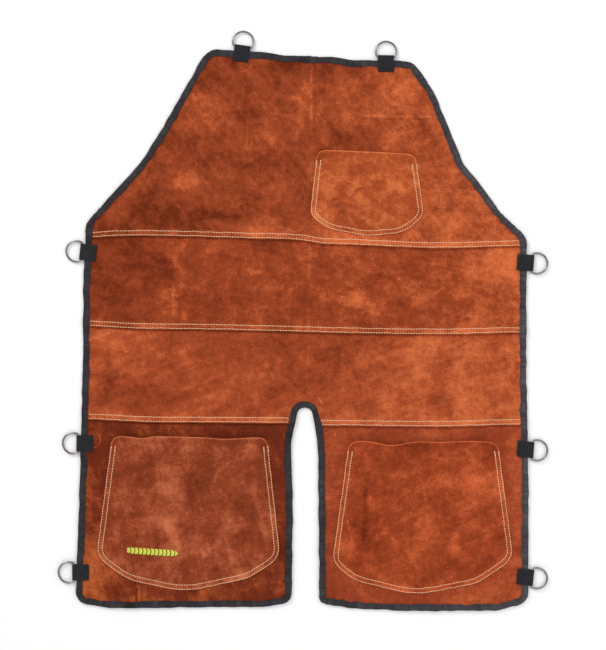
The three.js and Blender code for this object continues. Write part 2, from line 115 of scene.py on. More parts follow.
class Net:
    """Adds nodes to a material or a group. An input takes a number, a colour or another node's output."""

    def __init__(self, tree):
        self.tree = tree

    def feed(self, socket, value):
        if isinstance(value, bpy.types.NodeSocket):
            self.tree.links.new(value, socket)
        else:
            socket.default_value = value

    def add(self, kind, settings=None, **inputs):
        node = self.tree.nodes.new(kind)
        for name, value in (settings or {}).items():
            setattr(node, name, value)
        for name, value in inputs.items():
            self.feed(node.inputs[name.replace("_", " ")], value)
        return node

    def in_order(self, node, sockets, values):
        for socket, value in zip(sockets, values):
            self.feed(socket, value)
        return node.outputs

    def math(self, operation, *values):
        node = self.add("ShaderNodeMath", {"operation": operation})
        return self.in_order(node, node.inputs, values)[0]

    def plus(self, first, second):
        return self.math("ADD", first, second)

    def minus(self, first, second):
        return self.math("SUBTRACT", first, second)

    def times(self, first, second):
        return self.math("MULTIPLY", first, second)

    def vector(self, operation, *values):
        node = self.add("ShaderNodeVectorMath", {"operation": operation})
        outputs = self.in_order(node, node.inputs, values)
        return outputs["Value" if operation in ("LENGTH", "DOT_PRODUCT") else "Vector"]

    def mix(self, share, first, second, blend="MIX"):
        node = self.add("ShaderNodeMix", {"data_type": "RGBA", "blend_type": blend})
        sockets = [node.inputs[k] for k in (0, 6, 7)]  # the colour mix's own
        return self.in_order(node, sockets, (share, first, second))[2]

    def noise(self, place, scale, detail=3.0, rough=0.55, twist=0.0):
        return self.add(
            "ShaderNodeTexNoise", Vector=place, Scale=scale, Detail=detail, Roughness=rough, Distortion=twist
        ).outputs["Fac"]

    def span(self, value, low, high, to_low=0.0, to_high=1.0):
        node = self.add("ShaderNodeMapRange")
        return self.in_order(node, node.inputs, (value, low, high, to_low, to_high))[0]

    def stretched(self, place, across, along, turn=0.0, shift=(0, 0, 0)):
        node = self.add("ShaderNodeMapping", Vector=place, Scale=(across, along, 1), Location=shift)
        node.inputs["Rotation"].default_value = (0, 0, turn)
        return node.outputs[0]


def new_material(name, **constants):
    """A new material: (it, its net, its Principled shader, the piece's flat pattern as a vector)."""
    material = bpy.data.materials.new(name)
    material.use_nodes = True
    net = Net(material.node_tree)
    shader = material.node_tree.nodes["Principled BSDF"]
    for socket, value in constants.items():
        shader.inputs[socket.replace("_", " ")].default_value = value
    flat = net.add("ShaderNodeUVMap", {"uv_map": "flat"}).outputs[0]
    return material, net, shader, flat


floor_mesh = bpy.data.meshes.new("floor")
square = ((-1, -1), (1, -1), (1, 1), (-1, 1))
floor_corners = [(x * FLOOR_REACH, y * FLOOR_REACH, FLOOR_LEVEL) for x, y in square]
floor_mesh.from_pydata(floor_corners, [], [(0, 1, 2, 3)])
floor = bpy.data.objects.new("floor", floor_mesh)
bpy.context.collection.objects.link(floor)
floor_paint, *_ = new_material("floor_paint", Base_Color=(0.98, 0.98, 0.98, 1), Roughness=0.9)
floor_mesh.materials.append(floor_paint)

# ==== Leather body: five panels of split cowhide ====
# Each is cut flat, brushed on both faces, and laps over the panel below it. The two legs are one row of
# panels under the third seam. The cut edges show at the laps; the binding hides the others.
# Sizes are in millimetres here and below; meshes are made in metres.

MM = 0.001
PLACES = [
    "top_left", "top_right", "left_shoulder", "right_shoulder",
    "left_thigh", "right_thigh", "left_hem", "right_hem",
]
LEATHER = 1.4
LEATHER_BACK = 2.5  # level of a panel's back where it lies on nothing but the binding
LAP_BACK = 4.2  # and where it lies on the panel below it
TOP_OF_LEATHER = LEATHER_BACK + LEATHER
EDGE_ROUND = 0.35
SINK = 1.2  # between the tabs the edge drops to the floor
MIDDLE_SINK = 0.9  # and the middle of the leather by this much more
TAB_HOLD = 45  # a tab keeps the leather round it at its level
STIFF_EDGE, EASED_IN = 15, 45  # the binding holds the leather flat, which is slack this much further in
LEAST_BACK = 0.15  # no leather lies lower
WAVE, SMALL_WAVE, PUCKER = 0.85, 0.25, 0.28  # heights of slow waves, small waves and the edge's puckers
PALER_CUT = 0.25  # how much paler the leather is where it is cut


def ease(t):
    t = np.clip(t, 0, 1)
    return t * t * (3 - 2 * t)


def box_mm(node):
    """(lowest corner, highest corner) of a frame node."""
    low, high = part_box(node)
    return np.array(low) / MM, np.array(high) / MM


def facets(node, up=True, below=None):
    """The welded corners of a frame node, and its triangles that face up, or that face down below a level."""
    mesh = frame["nodes"][node].data
    corners = np.array([v.co for v in mesh.vertices]) / MM
    mesh.calc_loop_triangles()
    triangles = np.array([t.vertices[:] for t in mesh.loop_triangles])
    key, where = np.unique(np.round(corners, 3), axis=0, return_inverse=True)
    triangles = where.reshape(-1)[triangles]
    a, b, c = (key[triangles[:, i]] for i in range(3))
    lean = np.cross(b - a, c - a)
    lean = lean[:, 2] / np.maximum(np.linalg.norm(lean, axis=1), 1e-9)
    if up:
        return key, triangles[lean > 0.05]
    return key, triangles[(lean < -0.05) & (a[:, 2] < below)][:, ::-1]


def loops_round(triangles):
    """The closed loops of corner numbers round a set of triangles, each with the triangles on its left."""
    edges = {(int(p), int(q)) for t in triangles for p, q in ((t[0], t[1]), (t[1], t[2]), (t[2], t[0]))}
    after = {}
    for p, q in sorted(edges):
        if (q, p) not in edges:
            after.setdefault(p, []).append(q)
    loops = []
    while after:
        loop = [next(iter(after))]
        while loop[-1] in after:
            step = after[loop[-1]].pop()
            if not after[loop[-1]]:
                del after[loop[-1]]
            if step == loop[0]:
                break
            loop.append(step)
        loops.append(loop)
    return loops


def run_along(line):
    """How far along an open line each of its points is."""
    return np.r_[0, np.cumsum(np.linalg.norm(np.diff(line, axis=0), axis=1))]


def left_of(way):
    """The direction square to each step of a line in plan, to its left."""
    return np.column_stack([-way[:, 1], way[:, 0]]) / np.linalg.norm(way, axis=1)[:, None]


def plan(node, up=True, below=None):
    """A frame node's outline seen from above, anticlockwise."""
    key, triangles = facets(node, up, below)
    return max((key[loop][:, :2] for loop in loops_round(triangles)), key=lambda loop: run_along(loop)[-1])


def joined_at(upper, lower):
    """The outline of two pieces that meet at a level cut."""
    near = 0.05
    foot = np.flatnonzero(upper[:, 1] < upper[:, 1].min() + near)
    head = np.flatnonzero(lower[:, 1] > lower[:, 1].max() - near)
    right, left = foot[np.argmax(upper[foot, 0])], foot[np.argmin(upper[foot, 0])]
    over = np.roll(upper, -right, 0)[: (left - right) % len(upper) + 1]
    right, left = head[np.argmax(lower[head, 0])], head[np.argmin(lower[head, 0])]
    under = np.roll(lower, -left, 0)[: (right - left) % len(lower) + 1]
    return np.concatenate([over, under])


SHARP = 0.94  # cosine of the least turn that counts as a corner


def walked(line, step, closed=True):
    """A line with points every step or so, its sharp corners kept."""
    if closed:
        back, fore = line - np.roll(line, 1, 0), np.roll(line, -1, 0) - line
        turn = np.abs(back[:, 0] * fore[:, 1] - back[:, 1] * fore[:, 0])
        turn /= np.maximum(np.linalg.norm(back, axis=1) * np.linalg.norm(fore, axis=1), 1e-9)
        line = np.roll(line, -int(np.argmax(turn)), 0)
        line = np.concatenate([line, line[:1]])
    gaps = np.diff(line, axis=0)
    size = np.linalg.norm(gaps, axis=1)
    line, gaps, size = line[np.r_[True, size > 1e-6]], gaps[size > 1e-6], size[size > 1e-6]
    way = gaps / size[:, None]
    sharp = np.flatnonzero((way[:-1] * way[1:]).sum(1) < SHARP) + 1
    stops = [0, *sharp, len(line) - 1]
    along = np.r_[0, np.cumsum(size)]
    marks = []
    for first, last in zip(stops[:-1], stops[1:]):
        count = max(1, round((along[last] - along[first]) / step))
        marks.extend(np.linspace(along[first], along[last], count + 1)[:-1])
    if not closed:
        marks.append(along[-1])
    return np.stack([np.interp(marks, along, line[:, i]) for i in range(line.shape[1])], 1)


def inside(outline, points):
    """True for each point that lies in an outline."""
    x, y = points[:, 0], points[:, 1]
    within = np.zeros(len(points), bool)
    for (ax, ay), (bx, by) in zip(outline, np.roll(outline, -1, 0)):
        if ay == by:
            continue
        crosses = (ay > y) != (by > y)
        within ^= crosses & (x < (bx - ax) * (y - ay) / (by - ay) + ax)
    return within


def tree_of(points):
    tree = KDTree(len(points))
    for i, p in enumerate(points):
        tree.insert((p[0], p[1], 0), i)
    tree.balance()
    return tree


def nearest(tree, x, y):
    """For each place, the number of the tree's nearest point and how far it is."""
    found = [tree.find((a, b, 0)) for a, b in zip(x, y)]
    return np.array([f[1] for f in found]), np.array([f[2] for f in found])


def swell(seed, shortest, longest, count=24):
    """A smooth random rise and fall, about 1 either way, with waves between two lengths."""
    draw = np.random.default_rng(seed)
    turn = draw.uniform(0, math.tau, count)
    pace = math.tau / np.exp(draw.uniform(math.log(shortest), math.log(longest), count))
    start = draw.uniform(0, math.tau, count)

    def height(x, y):
        across, up = np.multiply.outer(x, pace * np.cos(turn)), np.multiply.outer(y, pace * np.sin(turn))
        phase = across + up + start
        return np.sin(phase).sum(-1) / math.sqrt(count / 2)

    return height


FOLD = {joint["name"]: joint["pos_m"][1] / MM for joint in frame["joints"] if joint["name"].endswith("_fold")}
bib_cut = plan("bib_panel")
upper_cut = joined_at(plan("upper_body_panel"), plan("upper_body_panel_foot"))
lower_cut = plan("lower_body_panel")
leg_cuts = {
    side: joined_at(plan(f"{side}_leg_panel_head"), plan(f"{side}_leg_panel")) for side in ("left", "right")
}
all_cuts = [bib_cut, upper_cut, lower_cut, *leg_cuts.values()]


def outer_side(node):
    """The outer edge of a piece of binding, running anticlockwise round the apron."""
    strip = plan(node, up=False, below=1.5)
    out = ~np.any([inside(cut, strip) for cut in all_cuts], axis=0)
    first = np.flatnonzero(out & ~np.roll(out, 1))[0]
    return np.roll(strip, -first, 0)[: out.sum()]


EDGE_ORDER = [
    "bib_binding", "left_waist_binding", "left_leg_binding",
    "slot_binding", "right_leg_binding", "right_waist_binding",
]
EDGE_STEP = 2.5
apron_edge = walked(np.concatenate([outer_side(node) for node in EDGE_ORDER]), EDGE_STEP)


def evened(line, reach):
    """A closed line with its small facets smoothed away."""
    side = np.arange(-3 * reach, 3 * reach + 1)
    weight = np.exp(-0.5 * (side / reach) ** 2)
    weight /= weight.sum()
    return sum(w * np.roll(line, -k, 0) for k, w in zip(side, weight))


apron_edge = evened(apron_edge, 1)
apron_edge_tree = tree_of(apron_edge)
edge_run = run_along(apron_edge)

tab_middles = [sum(box_mm(f"{place}_tab"))[:2] / 2 for place in PLACES]
slow_swell = swell(11, 110, 260)
quick_swell = swell(12, 28, 70)
fine_swell = swell(13, 12, 24)

# (start, end, half width, height): soft ridges and dents where the leather was folded in its pack.
CREASES = [
    ((6, 395), (9, 150), 5, -0.8),
    ((9, 350), (14, 190), 4, 0.6),
    ((70, 307), (290, 300), 4, 0.7),
    ((-170, 300), (-10, 309), 6, 0.5),
    ((-240, 182), (-40, 158), 7, 1.3),
    ((-190, 172), (-105, 176), 3, -0.9),
    ((20, 190), (150, 236), 5, 0.6),
    ((3, 110), (-4, -110), 6, -0.7),
    ((195, 250), (262, 232), 5, 0.9),
    ((225, 190), (305, 168), 6, 0.8),
    ((-255, -360), (-248, -425), 4, 1.1),
    ((-180, 60), (-170, -10), 9, 0.7),
    ((60, -30), (88, -110), 7, 0.8),
    ((240, -60), (300, -20), 8, 0.7),
    ((180, -185), (175, -215), 7, 0.8),
]


def creases(x, y):
    total = 0
    for (ax, ay), (bx, by), width, height in CREASES:
        long = math.hypot(bx - ax, by - ay)
        along = ((x - ax) * (bx - ax) + (y - ay) * (by - ay)) / long**2
        off = ((x - ax) * (by - ay) - (y - ay) * (bx - ax)) / long + 1.6 * quick_swell(x, y)
        fade = np.clip(1 - np.abs(2 * along - 1) ** 4, 0, 1)
        total = total + height * fade * np.exp(-((off / width) ** 2))
    return total


def lay(x, y):
    """How far the whole stack at a place lies above its level in the frame."""
    near = np.zeros_like(x)
    for tx, ty in tab_middles:
        near = np.maximum(near, np.exp(-((x - tx) ** 2 + (y - ty) ** 2) / TAB_HOLD**2))
    number, far = nearest(apron_edge_tree, x, y)
    middle = ease((far - STIFF_EDGE) / EASED_IN)
    small = (SMALL_WAVE * quick_swell(x, y) + creases(x, y)) * middle
    rolling = WAVE * (1 + np.tanh(0.8 * slow_swell(x, y))) + small
    pucker = PUCKER * fine_swell(edge_run[number], far * 0.25) * np.exp(-(((far - 10) / 16) ** 2))
    return (1 - near) * (-SINK - MIDDLE_SINK * middle + np.maximum(rolling, -0.1) + pucker * (far > 0))


def middle_line(node, count=90):
    """The line that a row of stitching follows across the apron."""
    strip = plan(node)
    low, high = strip[:, 0].min(), strip[:, 0].max()
    across = np.linspace(low + 0.6, high - 0.6, count)
    rises = []
    for x in across:
        crossed = np.array([(a, b) for a, b in zip(strip, np.roll(strip, -1, 0)) if (a[0] > x) != (b[0] > x)])
        (ax, ay), (bx, by) = crossed[:, 0].T, crossed[:, 1].T
        level = ay + (x - ax) * (by - ay) / (bx - ax)
        rises.append((level.min() + level.max()) / 2)
    return np.stack([across, rises], 1)


class Seam:
    """A lapped seam: two rows of stitching, and the raised strip of the upper panel that they hold."""

    ROW_EDGE = 2.4  # cut edge to the nearest row
    SLOPE = 5
    DENT, DENT_REACH = 0.32, 1.1
    GATHER, GATHER_REACH = 0.22, 11
    GUIDES = (
        -14, -11, -8.5, -6, -4, -2, -0.9, 0, 0.9, 2.1, 3.3,
        4.6, 5.5, 6.3, 7.2, 8.6, 10, 11.5, 13, 14.5, 17, 20,
    )

    def __init__(self, *names):
        self.rows = {name: [middle_line(f"{name}_{row}_row") for row in ("upper", "lower")] for name in names}
        upper, lower = (np.concatenate([self.rows[name][i] for name in names]) for i in (0, 1))
        self.upper = lambda x: np.interp(x, upper[:, 0], upper[:, 1])
        self.lower = lambda x: np.interp(x, lower[:, 0], lower[:, 1])

    def raised(self, x, y, soft=0.0):
        """The upper panel's rise over the lower one: 1 on the lap, 0 past it. soft blurs the cut edge."""
        head = 1 - ease((y - self.upper(x) - self.ROW_EDGE - 0.5) / self.SLOPE)
        foot = y - self.lower(x) + self.ROW_EDGE
        return head * (ease(foot / soft + 0.5) if soft else foot > -1)

    def pull(self, x, y):
        """The dents of the two rows and the small gathers beside them."""
        dents = sum(np.exp(-(((y - row(x)) / self.DENT_REACH) ** 2)) for row in (self.upper, self.lower))
        middle = (self.upper(x) + self.lower(x)) / 2
        gathers = fine_swell(x * 1.3, 0.2 * y) * np.exp(-np.abs(y - middle) / self.GATHER_REACH)
        return -self.DENT * dents + self.GATHER * gathers

    def guides(self, low, high):
        """Lines along the seam that the leather's mesh follows, between two offsets from the lower row."""
        across = np.arange(-360, 360, 2.6)
        return [np.stack([across, self.lower(across) + off], 1) for off in self.GUIDES if low <= off <= high]


bib_seam = Seam("bib_seam")
waist_seam = Seam("waist_seam")
leg_seam = Seam("left_leg_seam", "right_leg_seam")


def back_of(foot_seam, head_seam):
    """The level of a panel's back, from the seam at its foot and the seam at its head."""

    def level(x, y):
        z = np.full_like(x, LEATHER_BACK)
        if foot_seam:
            z = z + (LAP_BACK - LEATHER_BACK) * foot_seam.raised(x, y) + foot_seam.pull(x, y)
        if head_seam:
            z = z + head_seam.pull(x, y) * 0.8
        return z + lay(x, y)

    return level


def leather_top(x, y):
    """The highest leather at a place, smoothed at the laps, for what is sewn over it."""
    lap = sum(seam.raised(x, y, soft=4) for seam in (bib_seam, waist_seam, leg_seam))
    return TOP_OF_LEATHER + (LAP_BACK - LEATHER_BACK) * np.clip(lap, 0, 1) + lay(x, y)


LINE_CLEAR = 1.1  # extra lines stay this far from the cut edge
NET_CLEAR = 0.62  # share of the step that the net keeps from everything else


def filled(outline, step, lines=()):
    """Points and triangles that fill an outline: its edge, extra lines and an even net between them."""
    edge = walked(outline, step)
    kept = [edge]
    edge_tree = tree_of(edge)
    for line in lines:
        line = line[inside(edge, line)]
        if len(line):
            kept.append(line[nearest(edge_tree, *line.T)[1] > LINE_CLEAR])
    low, high = edge.min(0), edge.max(0)
    net = np.array([
        (x, y)
        for k, y in enumerate(np.arange(low[1] + step / 2, high[1], step * math.sin(math.pi / 3)))
        for x in np.arange(low[0] + (k % 2) * step / 2, high[0], step)
    ])
    net = net[inside(edge, net)]
    kept.append(net[nearest(tree_of(np.concatenate(kept)), *net.T)[1] > NET_CLEAR * step])
    points = np.concatenate(kept)
    ring = [(i, (i + 1) % len(edge)) for i in range(len(edge))]
    points, _, triangles, *_ = delaunay_2d_cdt([Vector(p) for p in points], ring, [], 1, 1e-5)
    points = np.array([(p.x, p.y) for p in points])
    triangles = np.array([t for t in triangles if len(t) == 3])
    a, b, c = (points[triangles[:, i]] for i in range(3))
    turned = (b - a)[:, 0] * (c - a)[:, 1] - (b - a)[:, 1] * (c - a)[:, 0] < 0
    triangles[turned] = triangles[turned][:, ::-1]
    return points, triangles


def new_piece(name, corners, faces, flat, material, tone=None):
    """A mesh object from corners in millimetres, with its flat pattern and, if given, each corner's tone."""
    mesh = bpy.data.meshes.new(name)
    mesh.from_pydata((np.asarray(corners) * MM).tolist(), [], faces)
    mesh.polygons.foreach_set("use_smooth", np.ones(len(mesh.polygons), bool))
    spot = np.zeros(len(mesh.loops), np.int32)
    mesh.loops.foreach_get("vertex_index", spot)
    pattern = mesh.uv_layers.new(name="flat")
    pattern.data.foreach_set("uv", (np.asarray(flat)[spot] * MM).astype(np.float32).ravel())
    if tone is not None:
        mesh.attributes.new("tone", "FLOAT", "POINT").data.foreach_set("value", np.asarray(tone, np.float32))
    mesh.materials.append(material)
    mesh.update()
    piece = bpy.data.objects.new(name, mesh)
    bpy.context.collection.objects.link(piece)
    return piece


def leather_piece(name, outline, back, material, tone, step=3.8, lines=()):
    """A panel or patch: a sheet with two faces and rounded cut edges, which are paler."""
    points, triangles = filled(outline, step, lines)
    x, y = points.T
    low = np.maximum(back(x, y), LEAST_BACK)
    shade = tone(x, y)
    top, under = np.column_stack([x, y, low + LEATHER]), np.column_stack([x, y, low])
    corners, flat, tones = [top, under], [points, points], [shade, shade]
    faces = [*triangles.tolist(), *(triangles[:, ::-1] + len(points)).tolist()]
    start = 2 * len(points)
    for rim in loops_round(triangles):
        line, count = points[rim], len(rim)
        inward = left_of(np.roll(line, -1, 0) - np.roll(line, 1, 0))
        corners.append(np.column_stack([line, low[rim] + LEATHER - EDGE_ROUND]))
        corners.append(np.column_stack([line, low[rim] + EDGE_ROUND]))
        top[rim, :2] += inward * EDGE_ROUND
        under[rim, :2] += inward * EDGE_ROUND
        flat += [line - inward * 0.5, line - inward * 1.2]
        tones += [shade[rim] + PALER_CUT] * 2
        fresh = start + np.arange(count)
        levels = [rim, fresh, fresh + count, np.array(rim) + len(points)]
        for i in range(count):
            j = (i + 1) % count
            for over, below in zip(levels[:-1], levels[1:]):
                faces.append(tuple(int(k) for k in (over[j], over[i], below[i], below[j])))
        start += 2 * count
    corners, flat, tones = (np.concatenate(parts) for parts in (corners, flat, tones))
    return new_piece(name, corners, faces, flat, material, tones)


def node_group(name, inputs, outputs):
    """A new shader node group: (its net, its input node's sockets, its output node)."""
    tree = bpy.data.node_groups.new(name, "ShaderNodeTree")
    for socket, kind in inputs.items():
        tree.interface.new_socket(name=socket, in_out="INPUT", socket_type="NodeSocket" + kind)
    for socket, kind in outputs.items():
        tree.interface.new_socket(name=socket, in_out="OUTPUT", socket_type="NodeSocket" + kind)
    net = Net(tree)
    return net, net.add("NodeGroupInput").outputs, net.add("NodeGroupOutput").inputs


def colour(red, green, blue):
    """A screen colour, 0 to 255, as the shaders' linear one."""
    shares = [v / 255 for v in (red, green, blue)]
    return (*(((v + 0.055) / 1.055) ** 2.4 if v > 0.04 else v / 12.92 for v in shares), 1)


def place_group(net, tree, **inputs):
    """A group placed in a material with its own values: its output sockets."""
    node = net.add("ShaderNodeGroup", {"node_tree": tree})
    for name, value in inputs.items():
        net.feed(node.inputs[name.replace("_", " ")], value)
    return node.outputs


# Suede: cloudy dye, brush strokes, a fine nap that catches the light, paler rubbed spots, and painted shade
# along hair-thin creases.
net, given, result = node_group(
    "suede",
    {
        "Place": "Vector", "Tone": "Float", "Seed": "Float", "Clouds": "Float", "Turn": "Float",
        "Dark": "Color", "Middle": "Color", "Light": "Color",
    },
    {"Colour": "Color", "Roughness": "Float", "Height": "Float"},
)
seed_shift = net.add("ShaderNodeCombineXYZ", X=given["Seed"], Y=net.times(given["Seed"], 1.7)).outputs[0]
place = net.vector("ADD", given["Place"], seed_shift)
round_up = {"rotation_type": "Z_AXIS"}
turned = net.add("ShaderNodeVectorRotate", round_up, Vector=place, Angle=given["Turn"]).outputs[0]
broad = net.noise(place, 9, 3, 0.55, 0.9)
cloud = net.noise(place, 34, 5, 0.62, 0.6)
blotch = net.noise(place, 120, 4, 0.6, 0.3)
stroke = net.noise(net.stretched(turned, 16, 90), 1, 4, 0.6, 0.4)
nap = net.noise(place, 420, 4, 0.7, 0.4)
fuzz = net.noise(place, 900, 3, 0.75)


def weighed(net, parts):
    """The sum of noises, each less its middle and times its weight."""
    total = None
    for value, weight in parts:
        part = net.times(net.minus(value, 0.5), weight)
        total = part if total is None else net.plus(total, part)
    return total


def wrinkles(place, scale, seldom, twist):
    """Long hair-thin lines that show only here and there: 1 on a line."""
    wave = net.noise(place, scale, 2, 0.5, twist)
    line = net.span(net.math("ABSOLUTE", net.minus(wave, 0.5)), 0.0, 0.012, 1.0, 0.0)
    return net.times(line, net.span(net.noise(place, scale * 1.7 + 9), seldom, seldom + 0.1))


creased = net.math("MAXIMUM", wrinkles(place, 14, 0.56, 1.2), wrinkles(place, 33, 0.6, 0.5))
fleck = net.span(net.noise(net.stretched(turned, 90, 240), 1, 2, 0.5), 0.7, 0.76)
clouds = weighed(net, [(broad, 1.3), (cloud, 1.05), (blotch, 0.5), (stroke, 0.55)])
shade = net.plus(net.times(clouds, given["Clouds"]), weighed(net, [(nap, 0.6), (fuzz, 0.5)]))
shade = net.plus(net.plus(shade, given["Tone"]), 0.5)
# painted shade: the colour darkens along the hair-thin creases, which the bump also dents
shade = net.plus(shade, net.times(creased, -0.22))
shade = net.plus(shade, net.times(fleck, 0.3))
low_half = net.mix(net.span(shade, 0.0, 0.5), given["Dark"], given["Middle"])
full = net.mix(net.span(shade, 0.5, 1.0), low_half, given["Light"])
grain = net.plus(weighed(net, [(nap, 0.5), (fuzz, 0.95), (blotch, 0.35)]), 1.0)
net.feed(result["Colour"], net.mix(1.0, full, grain, "MULTIPLY"))
net.feed(result["Roughness"], net.span(nap, 0.3, 0.7, 0.78, 0.95))
relief = net.plus(net.times(nap, 0.7), net.times(blotch, 0.6))
net.feed(result["Height"], net.minus(relief, net.times(creased, 0.5)))
suede_group = net.tree

# Marks that a ring or a tool leaves: a thin pale curve, part of a circle.
net, given, result = node_group(
    "curved_mark",
    {
        "Place": "Vector", "Centre": "Vector", "Facing": "Vector",
        "Radius": "Float", "Width": "Float", "Open": "Float",
    },
    {"Mask": "Float"},
)
away = net.vector("SUBTRACT", given["Place"], given["Centre"])
toward = net.vector("DOT_PRODUCT", net.vector("NORMALIZE", away), given["Facing"])
off = net.math("ABSOLUTE", net.minus(net.vector("LENGTH", away), given["Radius"]))
line = net.math("MAXIMUM", net.minus(1.0, net.math("DIVIDE", off, given["Width"])), 0.0)
side = net.span(net.minus(toward, given["Open"]), 0.0, 0.25)
worn = net.span(net.noise(given["Place"], 260), 0.35, 0.6)
net.feed(result["Mask"], net.times(net.times(line, side), worn))
mark_group = net.tree

# Painted highlight and shade along a fold, and scratches: a straight line that fades out at its ends and is
# broken here and there.
net, given, result = node_group(
    "straight_mark",
    {
        "Place": "Vector", "Middle": "Vector", "Way": "Vector", "Across": "Vector",
        "Half": "Float", "Width": "Float", "Wander": "Float",
    },
    {"Mask": "Float"},
)
from_middle = net.vector("SUBTRACT", given["Place"], given["Middle"])
along, aside = (net.vector("DOT_PRODUCT", from_middle, given[way]) for way in ("Way", "Across"))
drift = net.times(net.minus(net.noise(given["Place"], 22, 2), 0.5), given["Wander"])
off = net.math("ABSOLUTE", net.plus(aside, drift))
core = net.math("MAXIMUM", net.minus(1.0, net.math("DIVIDE", off, given["Width"])), 0.0)
ends = net.span(net.minus(1.0, net.math("DIVIDE", net.math("ABSOLUTE", along), given["Half"])), 0.0, 0.25)
worn = net.span(net.noise(given["Place"], 70), 0.36, 0.6)
net.feed(result["Mask"], net.times(net.times(core, ends), worn))
fold_shading_and_scratch_group = net.tree


def surfaced(net, shader, tint, roughness, height, strength, depth):
    """Feeds a shader its colour, its roughness and a bump."""
    net.feed(shader.inputs["Base Color"], tint)
    net.feed(shader.inputs["Roughness"], roughness)
    bump = net.add("ShaderNodeBump", Height=height, Strength=strength, Distance=depth)
    net.feed(shader.inputs["Normal"], bump.outputs[0])


def tone_of(net):
    """The tone that a mesh gives at each corner."""
    return net.add("ShaderNodeAttribute", {"attribute_name": "tone"}).outputs["Fac"]


def suede_material(name, seed, dark, middle, light, clouds, turn, marks=(), lines=()):
    """Split leather in its own shade.

    marks are (centre, radius, width, direction, openness, strength),
    and lines are (start, end, width, wander, strength); pale and dark lines along folds are painted highlight
    and shade, and short pale ones are scratches.
    """
    material, net, shader, flat = new_material(
        name, Sheen_Weight=0.05, Sheen_Roughness=0.55, Sheen_Tint=colour(235, 140, 90),
        Specular_IOR_Level=0.06,
    )
    tone = tone_of(net)
    for centre, radius, width, facing, openness, strength in marks:
        mask = place_group(
            net, mark_group, Place=flat, Centre=(centre[0] * MM, centre[1] * MM, 0), Radius=radius * MM,
            Width=width * MM, Facing=(math.cos(facing), math.sin(facing), 0), Open=openness,
        )["Mask"]
        tone = net.plus(tone, net.times(mask, strength))
    # pale and dark lines along folds are painted highlight and shade; short pale lines are scratches
    for (ax, ay), (bx, by), width, wander_by, strength in lines:
        long = math.hypot(bx - ax, by - ay)
        way = ((bx - ax) / long, (by - ay) / long, 0)
        mask = place_group(
            net, fold_shading_and_scratch_group, Place=flat, Middle=((ax + bx) / 2 * MM, (ay + by) / 2 * MM, 0),
            Way=way, Across=(-way[1], way[0], 0), Half=long / 2 * MM, Width=width * MM, Wander=wander_by * MM,
        )["Mask"]
        tone = net.plus(tone, net.times(mask, strength))
    made = place_group(
        net, suede_group, Place=flat, Tone=tone, Seed=seed, Clouds=clouds, Turn=turn,
        Dark=dark, Middle=middle, Light=light,
    )
    surfaced(net, shader, made["Colour"], made["Roughness"], made["Height"], 0.85, 0.8 * MM)
    return material


def patches(outline, spots, seed, side_shift=0.0):
    """The broad shading of a hide: soft spots at shares of its box, (across, up, reach, reach, amount)."""
    low, high = outline.min(0), outline.max(0)
    drift = swell(seed, 40, 120)

    def tone(x, y):
        u = (x - low[0]) / (high[0] - low[0]) + 0.02 * drift(x, y)
        v = (y - low[1]) / (high[1] - low[1]) + 0.02 * drift(y, x)
        total = side_shift * (u - 0.5)
        for across, up, reach_u, reach_v, amount in spots:
            total = total + amount * np.exp(-(((u - across) / reach_u) ** 2) - ((v - up) / reach_v) ** 2)
        return total

    return tone


def seam_shade(seam, x, y):
    """The pale rubbed strip between the rows of a seam, and a painted shadow: the dark line under its cut
    edge.
    """
    middle = (seam.upper(x) + seam.lower(x)) / 2
    rubbed = 0.2 * np.exp(-(((y - middle - 0.6) / 3.6) ** 2))
    # the second term is the painted shadow that the lap's cut edge casts on the panel below
    return rubbed - 0.34 * np.exp(-(((y - seam.lower(x) + 3.2) / 2.0) ** 2))


BODY_DARK, BODY_MIDDLE, BODY_LIGHT = colour(106, 40, 17), colour(156, 69, 37), colour(212, 107, 60)

